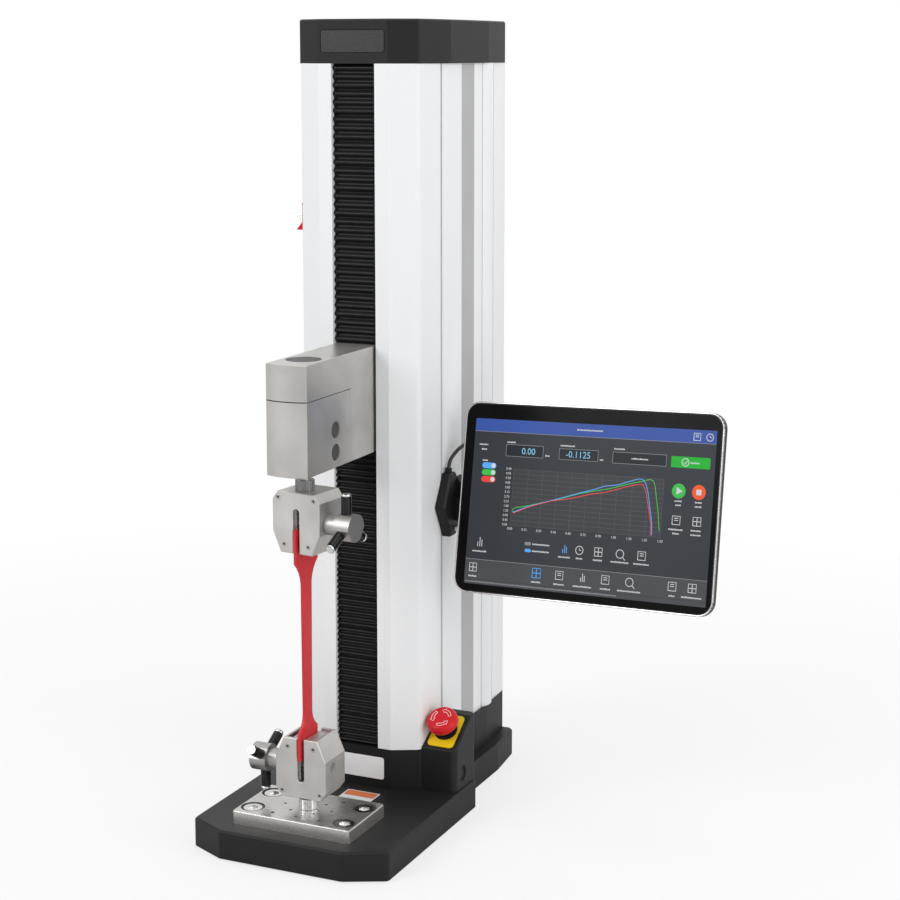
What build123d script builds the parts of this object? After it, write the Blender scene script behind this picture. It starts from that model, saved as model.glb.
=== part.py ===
"""Benchtop universal testing machine: column, crosshead, load cell, two vice grips, tablet panel.

Millimetres, +Z up. The origin lies on the bench under the middle of the base, -Y is the front
and +X the side that carries the stop button and the tablet.
"""

from build123d import *
from math import atan2, cos, degrees, radians, sin, tan
import os

os.makedirs("parts", exist_ok=True)

# Overrun of every cutting tool, and the clearances between pieces
overrun = 1.0
running_gap = 0.05
slide_gap = 0.3
seam_chamfer = 0.6

# Base
base_width = 210.6
base_depth = 386.0
base_top = 30.0
base_wide_length = 226.6
base_rear_step = 20.5
base_tail_taper = 5.9
base_tail_length = 56.9
base_nose_bevel = 39.6
base_nose_length = 19.1
base_corner_radius = 6.0
base_edge = 2.0
base_wall = 6.0
base_deck = 7.0
base_rib = 4.0
base_rib_offset = 34.0
pad_height = 1.6
pad_radius = 9.0
pad_stem_radius = 3.0
pad_stem_length = 6.0
pad_boss_radius = 11.0
pad_front_inset = 27.3
pad_front_setback = 36.0
pad_rear_inset = 22.8
pad_rear_setback = 40.0
front_y = -base_depth / 2
rear_y = base_depth / 2

# Tower plan, shared by the foot housing, the column and the top cap
tower_setback = 163.1
tower_depth = 222.0
tower_nose_half = 37.6
tower_chamfer_half = 65.1
tower_chamfer_depth = 13.9
tower_half = 72.0
tower_side_start = 71.4
tower_side_end = 164.9
tower_tail_half = 67.0
tower_edge_radius = 3.0
tower_y = front_y + tower_setback
tower_back_y = tower_y + tower_depth

# Column extrusion
column_bottom = 71.5
column_top = 755.5
column_wall = 4.0
column_side_half = 68.2
column_slot_place = 56.9
column_panel_end = 158.3
column_groove_width = 2.4
column_groove_depth = 2.0
column_bump_half = 72.0
column_corner_radius = 8.0
column_bump_length = 27.0
column_tail_half = 66.4
column_mouth_half = 23.4
column_lip = 3.0
column_lip_depth = 11.0
slot_mouth = 4.0
slot_lip = 2.0
slot_head = 9.0
slot_head_depth = 3.5
slot_wall = 2.0

# Top cap and its blank nameplate frame
cap_top = 798.1
cap_wall = 3.0
cap_roof = 4.0
cap_edge = 1.5
badge_width = 69.4
badge_height = 22.4
badge_radius = 3.0
badge_groove = 1.1
badge_groove_depth = 0.8
bellows_ledge = 16.0

# Foot housing
foot_wall = 3.0
foot_flange = 3.0

# Power module in the rear of the foot housing: inlet pocket and rocking switch key
module_width = 72.0
module_height = 28.0
module_x = -8.0
module_z = 51.0
module_lip = 2.0
module_rim = 2.0
module_depth = 22.0
inlet_shift = 14.0
inlet_pocket_width = 25.0
inlet_pocket_height = 16.5
inlet_pocket_depth = 17.0
inlet_blade_width = 2.0
inlet_blade_height = 6.0
inlet_blade_spacing = 7.0
inlet_blade_length = 13.4
switch_shift = -24.0
key_width = 9.0
key_height = 16.0
key_sweep = 8.0
rocker_rise = 2.4
rocker_sag = 1.0
rocker_pin_radius = 1.2
rocker_pin_length = 12.6
rocker_lean = 8.0

# Stop button pod on the right of the foot housing
pod_half = 102.3
pod_setback = 14.9
pod_length = 52.0
pod_shoulder = 74.0
pod_front_share = 0.6
pod_crest = 100.0
pod_crest_length = 13.0
pod_wall = 3.0
pod_inner_half = 74.3
pod_corner_radius = 7.0
pod_edge_radius = 2.0
plug_radius = 8.0
plug_depth = 2.0
plug_dish = 0.9
plug_dish_angle = 30.0
plug_setback = 18.0
plug_height = 16.0
legend_width = 28.0
legend_length = 40.0
legend_thickness = 1.2
legend_radius = 4.0
stop_x = 83.5
stop_body_radius = 8.0
stop_body_length = 18.0
stop_collar_radius = 12.0
stop_collar_height = 1.8
stop_block_size = 16.0
stop_block_length = 16.0
stop_stem_radius = 4.0
stop_stem_sink = 12.0
stop_head_radius = 16.2
stop_head_start = 9.0
stop_head_height = 12.0
stop_skirt_radius = 12.5
stop_dome_radius = 12.0
stop_stem_rise = 9.0
stop_travel = 4.0

# Drive: frame, screw, bearings, pulleys, belt, motor, guide rails and the spine that carries them
spine_place = 73.0
spine_thickness = 10.0
rail_spacing = 68.0
rail_width = 15.0
rail_depth = 14.0
rail_groove = 1.5
rail_inset = 14.0
screw_place = 57.0
screw_radius = 8.0
journal_radius = 6.0
bearing_height = 14.0
bearing_half = 20.0
bearing_radius = 11.0
bearing_lip = 3.0
frame_plate = 8.0
frame_half = 58.0
frame_front = 33.0
frame_back = 182.0
frame_cheek = 8.0
screw_pulley_radius = 16.0
motor_pulley_radius = 10.667
pulley_height = 13.0
pulley_flange = 1.5
pulley_flange_rise = 2.0
screw_pulley_teeth = 24
motor_pulley_teeth = 16
tooth_radius = 0.9
pulley_z = 42.0
belt_thickness = 1.5
belt_gap = 0.3
motor_place = 137.0
motor_size = 56.0
motor_height = 70.0
motor_corner = 5.0
motor_bell = 12.0
motor_groove = 1.0
motor_pilot_radius = 19.0
motor_pilot_height = 1.6
motor_shaft_radius = 4.0
motor_shaft_grip = 30.0

# Control board on the rear wall of the column
board_width = 84.0
board_height = 130.0
board_thickness = 1.6
board_bottom = 92.0
board_standoff = 8.0
board_standoff_radius = 3.0
board_inset = 6.0
chip_size = 18.0
chip_height = 3.0
capacitor_radius = 6.0
capacitor_height = 16.0

# Work plate with its hole pattern
plate_width = 127.0
plate_depth = 76.2
plate_thickness = 12.7
plate_corner = 3.0
plate_edge = 0.8
bolt_spacing_x = 100.0
bolt_spacing_y = 41.0
bolt_radius = 6.0
bolt_head_radius = 9.2
bolt_head_height = 7.5
bolt_pocket_radius = 11.8
bolt_pocket_depth = 8.2
bolt_length = 12.0
bolt_hex = 10.0
bolt_hex_depth = 4.0
hexagon_side_count = 6
tap_radius = 2.1
tap_spacing_x = 25.4
tap_spacing_y = 25.4
tap_fine_radius = 1.5
tap_depth = 9.0

# Load line, studs and lock nuts
load_setback = 58.8
stud_radius = 4.75
stud_fit = 0.05
lock_nut_radius = 9.3
lock_nut_height = 10.0
lock_nut_gap = 0.3
lock_nut_knurls = 24
knurl_radius = 0.7
stud_grip = 11.0
lower_stud_collar_radius = 6.5
lower_stud_collar = 3.7
lower_stud_sink = 9.0
stud_show = 8.4

# Vice grips
grip_height = 59.0
grip_width = 54.0
grip_depth = 40.0
grip_offset = 4.6
grip_plate = 3.6
grip_crown_inset = 6.0
grip_crown_drop = 8.0
grip_mouth_inset = 9.0
grip_mouth_drop = 20.0
grip_slot_half = 3.5
grip_slot_top = 16.0
grip_cavity_half = 15.6
grip_cavity_top = 13.0
upper_grip_turn = -7.0
jaw_thickness = 10.5
jaw_gap = 0.15
jaw_teeth = 11
jaw_tooth_depth = 0.5
spindle_radius = 5.0
spindle_drop = 30.0
neck_radius = 9.8
neck_length = 13.0
neck_gap = 0.4
hub_radius = 13.4
hub_length = 17.5
hub_flat = 12.2
hub_turn_angle = 30.0
rod_radius = 4.9
rod_reach = 32.0
rod_root = 6.0
rod_tip = 3.0
rod_tip_radius = 4.5
rod_count = 3
rod_share = 0.38

# Specimen strip held in the grips
strip_thickness = 3.2
strip_lower_sink = 38.0
strip_upper_sink = 36.0
strip_end_half = 18.0
strip_neck_half = 7.2
strip_lower_end = 27.0
strip_lower_shoulder = 18.0
strip_upper_end = 33.0
strip_upper_shoulder = 24.0

# Crosshead arm, load cell and carriage
arm_half = 21.5
arm_setback = 25.0
arm_bulge = 4.5
arm_bottom = 376.0
arm_height = 106.0
arm_gap = 1.6
cell_height = 71.4
cell_length = 87.4
cell_pocket_radius = 8.2
cell_pocket_depth = 2.6
cell_plug_thickness = 1.2
cell_plug_place = 56.0
cell_plug_high = 36.7
cell_plug_low = 15.0
arm_disc_radius = 17.2
arm_disc_depth = 1.8
arm_disc_thickness = 1.5
arm_neck_half = 20.0
arm_block_length = 48.9
carriage_place = 31.0
carriage_thickness = 12.0
carriage_half = 52.0
carriage_over = 12.0
block_width = 34.0
block_height = 40.0
block_depth = 25.0
block_spread = 66.0
nut_width = 30.0
nut_height = 32.0
nut_depth = 26.0
thread_gap = 0.06

# Bellows
bellows_half = 22.9
bellows_front = 2.0
bellows_fold = 8.6
bellows_skin = 2.4
bellows_end_gap = 0.3
upper_pleat_count = 33
lower_pleat_count = 50

# Limit stop in the left slot
stop_z = 588.0
limit_height = 28.0
limit_reach = 21.5
limit_block_reach = 15.0
limit_depth = 16.0
limit_nose = 8.0
thumb_radius = 6.5
thumb_length = 9.0
thumb_height = 17.0
thumb_shank_radius = 2.0

# Tablet bracket in the right slot
bracket_z = 315.0
bracket_place = 64.4
bracket_thickness = 10.0
bracket_half_height = 32.5
bracket_half_width = 23.5
bracket_tip_half = 6.5
bracket_edge = 2.0
bracket_stub_half = 12.0
bracket_stub_length = 14.0
bracket_stub_place = 13.5
bracket_web = 12.0
bracket_web_height = 20.0
bracket_knob_radius = 3.6
bracket_knob_length = 5.0
bracket_knob_drop = 24.0
bracket_knob_shank = 1.6
swivel_reach = 26.0
swivel_radius = 10.0
swivel_pin_radius = 3.0

# Tablet lead: its place on the bracket's top edge, and its route from there in steps of
# (out from the column, back, up) to a run down into the gland over the swivel pin
lead_radius = 1.9
lead_bend_share = 0.45
lead_place = 4.0
lead_drop = 7.9
lead_route = [
    (0.0, 0.0, 10.0),
    (3.5, 7.5, 19.0),
    (8.0, 18.5, 25.5),
    (13.0, 30.5, 26.5),
    (19.5, 39.5, 19.5),
    (26.0, 39.5, 8.5),
    (30.0, 30.5, -0.5),
    (32.0, 19.0, -7.0),
]
exit_gland_radius = 3.4
pin_gland_radius = 5.4
gland_height = 4.5
arm_bar_height = 15.0
arm_bar_width = 13.0

# Tablet panel
tablet_width = 280.0
tablet_height = 190.0
tablet_thickness = 9.0
tablet_corner = 15.0
tablet_edge = 2.2
tablet_reach = 160.8
tablet_place = 36.9
tablet_rise = 19.4
tablet_yaw_angle = -7.5
tablet_tilt = 13.3
tablet_roll_angle = 2.9
glass_inset = 2.2
glass_thickness = 1.0
cradle_size = 90.0
cradle_thickness = 4.0
cradle_corner = 8.0
knuckle_setback = 27.0
knuckle_offset = 18.6
ear_radius = 8.0
bar_setback = 16.0
knuckle_length = 26.0
ear_thickness = 5.0
hinge_pin_radius = 2.5

# Places worked out from the sizes above
load_y = front_y + load_setback
arm_top = arm_bottom + arm_height
cell_top = arm_bottom + cell_height
plate_top = base_top + plate_thickness
grip_lower_top = plate_top + lower_stud_collar + lock_nut_height + 2 * lock_nut_gap
grip_upper_top = arm_bottom - lock_nut_height - 2 * lock_nut_gap - stud_show
strip_bottom = grip_lower_top + strip_lower_sink
strip_top = grip_upper_top - strip_upper_sink
spine_y = tower_y + spine_place
screw_y = tower_y + screw_place
motor_y = tower_y + motor_place
slot_y = tower_y + column_slot_place


def finish(builder, name):
    """Label a finished sub-part and write its STEP file."""
    builder.part.label = name
    export_step(builder.part, f"parts/{name}.step")


def mirrored(points):
    """Right-hand outline points followed by their mirror images, as one closed loop."""
    return points + [(-x, y) for x, y in reversed(points)]


def closed_face(points):
    """Fill the closed polygon through the points, inside a sketch."""
    Polygon(*points, align=None)


def base_points():
    """Plan of the base: bevelled nose, wide front part, narrower tail."""
    rear_half = base_width / 2 - base_rear_step
    return mirrored([
        (base_width / 2 - base_nose_bevel, front_y),
        (base_width / 2, front_y + base_nose_length),
        (base_width / 2, front_y + base_wide_length),
        (rear_half, front_y + base_wide_length),
        (rear_half, rear_y - base_tail_length),
        (rear_half - base_tail_taper, rear_y),
    ])


def tower_points():
    """Plan shared by the foot housing and the top cap."""
    return mirrored([
        (tower_nose_half, tower_y),
        (tower_chamfer_half, tower_y + tower_chamfer_depth),
        (tower_half, tower_y + tower_side_start),
        (tower_half, tower_y + tower_side_end),
        (tower_tail_half, tower_back_y),
    ])


def column_points():
    """Plan of the white column, a little inside the tower plan at its sides."""
    return mirrored([
        (tower_nose_half, tower_y),
        (tower_chamfer_half, tower_y + tower_chamfer_depth),
        (column_side_half, slot_y - slot_mouth),
        (column_side_half, tower_y + column_panel_end),
        (column_side_half, tower_y + column_panel_end + column_bump_length),
        (column_side_half, tower_y + column_panel_end + column_bump_length + column_groove_width),
        (column_tail_half, tower_back_y),
    ])


def load_plane(top, facing, turn=0.0):
    """Plane at a grip's stud face: local z points to the stud, local x to the clamp hub."""
    return Plane(
        origin=(0, load_y, top),
        x_dir=(facing * cos(radians(turn)), facing * sin(radians(turn)), 0),
        z_dir=(0, 0, facing),
    )


def base_casting():
    """Hollow base with ribs, bosses for the pads and tapped bosses for the work plate."""
    cavity = base_top - base_deck - pad_height
    with BuildPart() as casting:
        with BuildSketch(Plane.XY.offset(pad_height)):
            closed_face(base_points())
            fillet(vertices(), base_corner_radius)
        extrude(amount=base_top - pad_height)
        chamfer(casting.faces().sort_by(Axis.Z)[-1].edges(), base_edge)
        with BuildSketch(Plane.XY.offset(pad_height)):
            closed_face(base_points())
            offset(amount=-base_wall, kind=Kind.INTERSECTION, mode=Mode.REPLACE)
        extrude(amount=cavity, mode=Mode.SUBTRACT)
        with BuildSketch(Plane.XY.offset(pad_height)):
            with Locations((-base_rib_offset, 0), (base_rib_offset, 0)):
                Rectangle(base_rib, base_depth - base_wall)
            with Locations((0, front_y + base_wide_length / 3), (0, front_y + base_wide_length * 2 / 3)):
                Rectangle(base_width - base_wall, base_rib)
            with Locations((0, front_y + base_wide_length + base_tail_length)):
                Rectangle(base_width - 2 * base_rear_step - base_wall, base_rib)
            with Locations(*pad_places()):
                Circle(pad_boss_radius)
            with Locations((0, load_y)):
                with GridLocations(bolt_spacing_x, bolt_spacing_y, 2, 2):
                    Circle(bolt_pocket_radius)
        extrude(amount=cavity)
        with BuildSketch(Plane.XY.offset(pad_height)):
            with Locations(*pad_places()):
                Circle(pad_stem_radius + running_gap)
        extrude(amount=pad_stem_length + overrun, mode=Mode.SUBTRACT)
        with BuildSketch(Plane.XY.offset(base_top)):
            with Locations((0, load_y)):
                with GridLocations(bolt_spacing_x, bolt_spacing_y, 2, 2):
                    Circle(bolt_radius + running_gap)
        extrude(amount=-bolt_length, mode=Mode.SUBTRACT)
    finish(casting, "base_casting")


def pad_places():
    """Where the four rubber pads stand."""
    rear_half = base_width / 2 - base_rear_step
    return [
        (side * half, y)
        for side in (-1, 1)
        for half, y in (
            (base_width / 2 - pad_front_inset, front_y + pad_front_setback),
            (rear_half - pad_rear_inset, rear_y - pad_rear_setback),
        )
    ]


def rubber_pads():
    """Four pads that the machine stands on, each with a push-in stem."""
    with BuildPart() as pads:
        with BuildSketch(Plane.XY):
            with Locations(*pad_places()):
                Circle(pad_radius)
        extrude(amount=pad_height)
        with BuildSketch(Plane.XY.offset(pad_height)):
            with Locations(*pad_places()):
                Circle(pad_stem_radius)
        extrude(amount=pad_stem_length)
    finish(pads, "rubber_pads")


def column():
    """Extruded column: front mouth with lips, side slots, panel grooves and a rounded rib."""
    slot_boss = slot_head_depth + slot_wall
    groove_y = tower_y + column_panel_end
    rib_end = groove_y + column_bump_length
    rib_middle = (groove_y + rib_end) / 2
    with BuildPart() as extrusion:
        with BuildSketch(Plane.XY.offset(column_bottom)):
            closed_face(column_points())
            fillet(vertices().group_by(Axis.Y)[1], column_corner_radius)
            offset(amount=-column_wall, kind=Kind.INTERSECTION, mode=Mode.SUBTRACT)
            for side in (-1, 1):
                with BuildLine():
                    rib = ThreePointArc(
                        (side * column_side_half, groove_y + column_groove_width),
                        (side * column_bump_half, rib_middle),
                        (side * column_side_half, rib_end),
                    )
                    Line(rib @ 1, rib @ 0)
                make_face()
            boss_x = column_side_half - slot_lip - slot_boss / 2
            with Locations((-boss_x, slot_y), (boss_x, slot_y)):
                Rectangle(slot_boss, slot_head + 2 * column_wall)
            lip_x = column_mouth_half + column_lip / 2
            lip_y = tower_y + column_wall + column_lip_depth / 2 - overrun
            with Locations((-lip_x, lip_y), (lip_x, lip_y)):
                Rectangle(column_lip, column_lip_depth)
            with Locations((0, tower_y)):
                Rectangle(2 * column_mouth_half, 2 * (column_wall + overrun), mode=Mode.SUBTRACT)
            for side in (-1, 1):
                with Locations((side * column_side_half, slot_y)):
                    Rectangle(2 * slot_lip, slot_mouth, mode=Mode.SUBTRACT)
                with Locations((side * (column_side_half - slot_lip - slot_head_depth / 2), slot_y)):
                    Rectangle(slot_head_depth, slot_head, mode=Mode.SUBTRACT)
                with Locations(
                    (side * column_side_half, groove_y),
                    (side * column_side_half, rib_end + column_groove_width / 2),
                ):
                    Rectangle(2 * column_groove_depth, column_groove_width, mode=Mode.SUBTRACT)
        extrude(amount=column_top - column_bottom)
    finish(extrusion, "column")


def top_cap():
    """Moulded cap with a bevelled crown and a framed blank nameplate."""
    badge_z = (cap_top + column_top) / 2
    with BuildPart() as cap:
        with BuildSketch(Plane.XY.offset(column_top)):
            closed_face(tower_points())
        extrude(amount=cap_top - column_top)
        fillet(cap.edges().filter_by(Axis.Z), tower_edge_radius)
        chamfer(cap.faces().sort_by(Axis.Z)[-1].edges(), cap_edge)
        with BuildSketch(Plane.XY.offset(column_top)):
            closed_face(tower_points())
            offset(amount=-cap_wall, kind=Kind.INTERSECTION, mode=Mode.REPLACE)
            with Locations((0, tower_y)):
                Rectangle(2 * tower_half, 2 * bellows_ledge, mode=Mode.SUBTRACT)
        extrude(amount=cap_top - column_top - cap_roof, mode=Mode.SUBTRACT)
        with BuildSketch(Plane(origin=(0, tower_y, badge_z), x_dir=(1, 0, 0), z_dir=(0, -1, 0))):
            RectangleRounded(badge_width, badge_height, badge_radius)
            RectangleRounded(
                badge_width - 2 * badge_groove,
                badge_height - 2 * badge_groove,
                badge_radius - badge_groove,
                mode=Mode.SUBTRACT,
            )
        extrude(amount=-badge_groove_depth, mode=Mode.SUBTRACT)
    finish(cap, "top_cap")


def foot_housing():
    """Housing round the column's foot, open below, with the rear cut-outs."""
    with BuildPart() as housing:
        with BuildSketch(Plane.XY.offset(base_top)):
            closed_face(tower_points())
        extrude(amount=column_bottom - base_top)
        fillet(housing.edges().filter_by(Axis.Z), tower_edge_radius)
        with BuildSketch(Plane.XY.offset(base_top)):
            closed_face(tower_points())
            offset(amount=-foot_wall, kind=Kind.INTERSECTION, mode=Mode.REPLACE)
        extrude(amount=column_bottom - base_top - foot_flange, mode=Mode.SUBTRACT)
        with BuildSketch(Plane.XY.offset(column_bottom)):
            closed_face(column_points())
            offset(amount=-column_wall, kind=Kind.INTERSECTION, mode=Mode.REPLACE)
            with Locations((0, tower_y)):
                Rectangle(2 * tower_half, 2 * bellows_ledge, mode=Mode.SUBTRACT)
        extrude(amount=-foot_flange - overrun, mode=Mode.SUBTRACT)
        with BuildSketch(module_plane()):
            Rectangle(module_width - 2 * module_lip, module_height - 2 * module_lip)
        extrude(amount=-foot_wall - overrun, mode=Mode.SUBTRACT)
    finish(housing, "foot_housing")


def module_plane():
    """Plane of the power module on the rear wall, local x to the left as seen in plan."""
    return Plane(origin=(module_x, tower_back_y, module_z), x_dir=(-1, 0, 0), z_dir=(0, 1, 0))


def key_plane(lean=0.0):
    """Side elevation through the switch key's pin, local x out of the rear wall."""
    origin = module_plane().from_local_coords((switch_shift, 0, 0))
    return Plane(origin=origin, x_dir=(0, cos(radians(lean)), sin(radians(lean))), z_dir=(1, 0, 0))


def power_module():
    """Appliance inlet and switch frame in one moulding, and the rocking key on its cross pin."""
    face = module_plane()
    with BuildPart() as module:
        with BuildSketch(face):
            RectangleRounded(module_width, module_height, module_lip)
        extrude(amount=module_rim)
        with BuildSketch(face):
            Rectangle(
                module_width - 2 * module_lip - slide_gap,
                module_height - 2 * module_lip - slide_gap,
            )
        extrude(amount=-module_depth)
        with BuildSketch(face.offset(module_rim)):
            with Locations((inlet_shift, 0)):
                Rectangle(inlet_pocket_width, inlet_pocket_height)
        extrude(amount=-inlet_pocket_depth, mode=Mode.SUBTRACT)
        with BuildSketch(face.offset(module_rim - inlet_pocket_depth)):
            with Locations((inlet_shift, inlet_blade_width)):
                Rectangle(inlet_blade_width, inlet_blade_height)
            with Locations(
                (inlet_shift - inlet_blade_spacing, -inlet_blade_width),
                (inlet_shift + inlet_blade_spacing, -inlet_blade_width),
            ):
                Rectangle(inlet_blade_width, inlet_blade_height)
        extrude(amount=inlet_blade_length)
        with BuildSketch(face.offset(module_rim)):
            with Locations((switch_shift, 0)):
                Rectangle(key_width + 2 * slide_gap, key_height + 2 * slide_gap)
        extrude(amount=-key_sweep - module_rim, mode=Mode.SUBTRACT)
        with BuildSketch(key_plane()):
            Circle(rocker_pin_radius + running_gap)
        extrude(amount=(rocker_pin_length + overrun) / 2, both=True, mode=Mode.SUBTRACT)
    finish(module, "power_inlet")
    tip = module_rim + rocker_rise
    edge = key_height / 2 - slide_gap
    with BuildPart() as key:
        with BuildSketch(key_plane(rocker_lean)):
            with BuildLine():
                top = ThreePointArc((tip, edge), (tip - rocker_sag, 0), (tip, -edge))
                Polyline(
                    top @ 1,
                    (0, rocker_sag - edge),
                    (-2 * rocker_pin_radius, 0),
                    (0, edge - rocker_sag),
                    top @ 0,
                )
            make_face()
            Circle(rocker_pin_radius * 2)
        extrude(amount=key_width / 2, both=True)
        with BuildSketch(key_plane()):
            Circle(rocker_pin_radius)
        extrude(amount=rocker_pin_length / 2, both=True)
    finish(key, "power_switch")


def pod_y():
    """Front face of the stop button pod."""
    return tower_y + pod_setback


def pod_profile(inset):
    """Side profile of the pod in (y, z), moved inwards by inset all round but at the base."""
    front = pod_y() + inset
    back = pod_y() + pod_length - inset
    crest_start = back + inset - pod_crest_length + inset / 2
    return [
        (front, base_top),
        (front, pod_shoulder - inset * pod_front_share),
        (crest_start, pod_crest - inset),
        (back, pod_crest - inset),
        (back, base_top),
    ]


def stop_plane():
    """Plane on the pod's sloping face, at the middle of the legend plate."""
    run = pod_length - pod_crest_length
    rise = pod_crest - pod_shoulder
    slope = atan2(rise, run)
    return Plane(
        origin=(stop_x, pod_y() + run / 2, (pod_shoulder + pod_crest) / 2),
        x_dir=(1, 0, 0),
        z_dir=(0, -sin(slope), cos(slope)),
    )


def stop_pod():
    """Hollow pod against the housing and column, with a sloping face for the stop button."""
    with BuildPart() as pod:
        with BuildSketch(Plane.YZ.offset(tower_nose_half)):
            closed_face(pod_profile(0))
        extrude(amount=pod_half - tower_nose_half)
        outer = pod.faces().sort_by(Axis.X)[-1]
        fillet(outer.edges().filter_by(Axis.Z), pod_corner_radius)
        fillet(pod.faces().sort_by(Axis.X)[-1].edges().sort_by(Axis.Z)[-3:], pod_edge_radius)
        with BuildSketch(Plane.XY.offset(base_top)):
            closed_face(tower_points())
        extrude(amount=column_bottom - base_top, mode=Mode.SUBTRACT)
        with BuildSketch(Plane.XY.offset(column_bottom)):
            closed_face(column_points())
        extrude(amount=pod_crest - column_bottom + overrun, mode=Mode.SUBTRACT)
        with BuildSketch(Plane.YZ.offset(pod_inner_half)):
            closed_face(pod_profile(pod_wall))
        extrude(amount=pod_half - pod_wall - pod_inner_half, mode=Mode.SUBTRACT)
        with BuildSketch(stop_plane()):
            Circle(stop_body_radius + running_gap)
        extrude(amount=pod_wall + overrun, both=True, mode=Mode.SUBTRACT)
        with BuildSketch(plug_plane()):
            Circle(plug_radius + running_gap)
        extrude(amount=-pod_wall - overrun, mode=Mode.SUBTRACT)
    finish(pod, "stop_pod")


def plug_plane():
    """Plane of the round blanking plug on the pod's outer side."""
    return Plane(
        origin=(pod_half, pod_y() + plug_setback, base_top + plug_height),
        x_dir=(0, 1, 0),
        z_dir=(1, 0, 0),
    )


def pod_plug():
    """Dished blanking plug in the pod's side."""
    with BuildPart() as plug:
        with BuildSketch(plug_plane().offset(-pod_wall)):
            Circle(plug_radius)
        extrude(amount=plug_depth)
        with BuildSketch(plug_plane().offset(plug_depth - pod_wall)):
            Circle(plug_radius - plug_dish)
        extrude(amount=-plug_dish, mode=Mode.SUBTRACT, taper=plug_dish_angle)
    finish(plug, "pod_plug")


def stop_button():
    """Stop button: legend plate, panel body, sliding stem and turning mushroom head."""
    face = stop_plane()
    top = legend_thickness
    with BuildPart() as legend:
        with BuildSketch(face):
            RectangleRounded(legend_width, legend_length, legend_radius)
            Circle(stop_body_radius + running_gap, mode=Mode.SUBTRACT)
        extrude(amount=legend_thickness)
    finish(legend, "stop_legend_plate")
    with BuildPart() as body:
        with BuildSketch(face.offset(top)):
            Circle(stop_collar_radius)
        extrude(amount=stop_collar_height)
        with BuildSketch(face.offset(top)):
            Circle(stop_body_radius)
        extrude(amount=-stop_body_length)
        with BuildSketch(face.offset(top - stop_body_length)):
            RectangleRounded(stop_block_size, stop_block_size, pod_edge_radius)
        extrude(amount=-stop_block_length)
        with BuildSketch(face.offset(top + stop_collar_height)):
            Circle(stop_stem_radius + running_gap)
        extrude(amount=-stop_collar_height - stop_stem_sink - stop_travel - overrun, mode=Mode.SUBTRACT)
    finish(body, "stop_switch_body")
    with BuildPart() as stem:
        with BuildSketch(face.offset(top - stop_stem_sink)):
            Circle(stop_stem_radius)
        extrude(amount=stop_stem_sink + stop_head_start + stop_stem_rise / 2)
    finish(stem, "stop_stem")
    with BuildPart() as head:
        with BuildSketch(Plane(origin=face.origin, x_dir=face.x_dir, z_dir=-face.y_dir)):
            bottom = top + stop_head_start
            with BuildLine():
                Polyline(
                    (0, bottom + stop_stem_rise / 2 + running_gap),
                    (stop_stem_radius + running_gap, bottom + stop_stem_rise / 2 + running_gap),
                    (stop_stem_radius + running_gap, bottom),
                    (stop_skirt_radius, bottom),
                )
                side = ThreePointArc(
                    (stop_skirt_radius, bottom),
                    (stop_head_radius, bottom + stop_head_height / 2),
                    (stop_dome_radius, bottom + stop_head_height),
                )
                socket_top = bottom + stop_stem_rise / 2 + running_gap
                Polyline(side @ 1, (0, bottom + stop_head_height), (0, socket_top))
            make_face()
        revolve(axis=Axis(face.origin, face.z_dir))
    finish(head, "stop_head")


def guide_rails():
    """Two profile rails with a ball groove along each side."""
    length = column_top - column_bottom - 2 * rail_inset
    middle_y = spine_y - rail_depth / 2
    with BuildPart() as rails:
        with BuildSketch(Plane.XY.offset(column_bottom + rail_inset)):
            for x in (-rail_spacing / 2, rail_spacing / 2):
                with Locations((x, middle_y)):
                    Rectangle(rail_width, rail_depth)
                with Locations((x - rail_width / 2, middle_y), (x + rail_width / 2, middle_y)):
                    Circle(rail_groove, mode=Mode.SUBTRACT)
        extrude(amount=length)
    finish(rails, "guide_rails")


def column_spine():
    """Plate across the column that carries the rails, the bearings and the load."""
    with BuildPart() as spine:
        with BuildSketch(Plane.XY.offset(column_bottom)):
            with Locations((0, spine_y + spine_thickness / 2)):
                Rectangle(2 * (column_side_half - column_wall), spine_thickness)
        extrude(amount=column_top - column_bottom)
    finish(spine, "column_spine")


def bearing_bottoms():
    """Heights of the undersides of the lower and the upper screw bearing."""
    return (column_bottom + slot_lip, column_top - slot_mouth - bearing_height + running_gap)


def screw_bearings():
    """Two bearing blocks on the spine, each with a recessed front lip round the bore."""
    depth = spine_y - screw_y + bearing_half
    with BuildPart() as blocks:
        for bottom in bearing_bottoms():
            with BuildSketch(Plane.XY.offset(bottom)):
                with Locations((0, spine_y - depth / 2)):
                    RectangleRounded(2 * bearing_half, depth, bearing_lip)
                with Locations((0, screw_y)):
                    Circle(journal_radius + running_gap, mode=Mode.SUBTRACT)
            extrude(amount=bearing_height)
            with BuildSketch(Plane.XY.offset(bottom)):
                with Locations((0, screw_y)):
                    Circle(bearing_radius)
            extrude(amount=bearing_lip, mode=Mode.SUBTRACT)
    finish(blocks, "screw_bearings")


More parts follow.
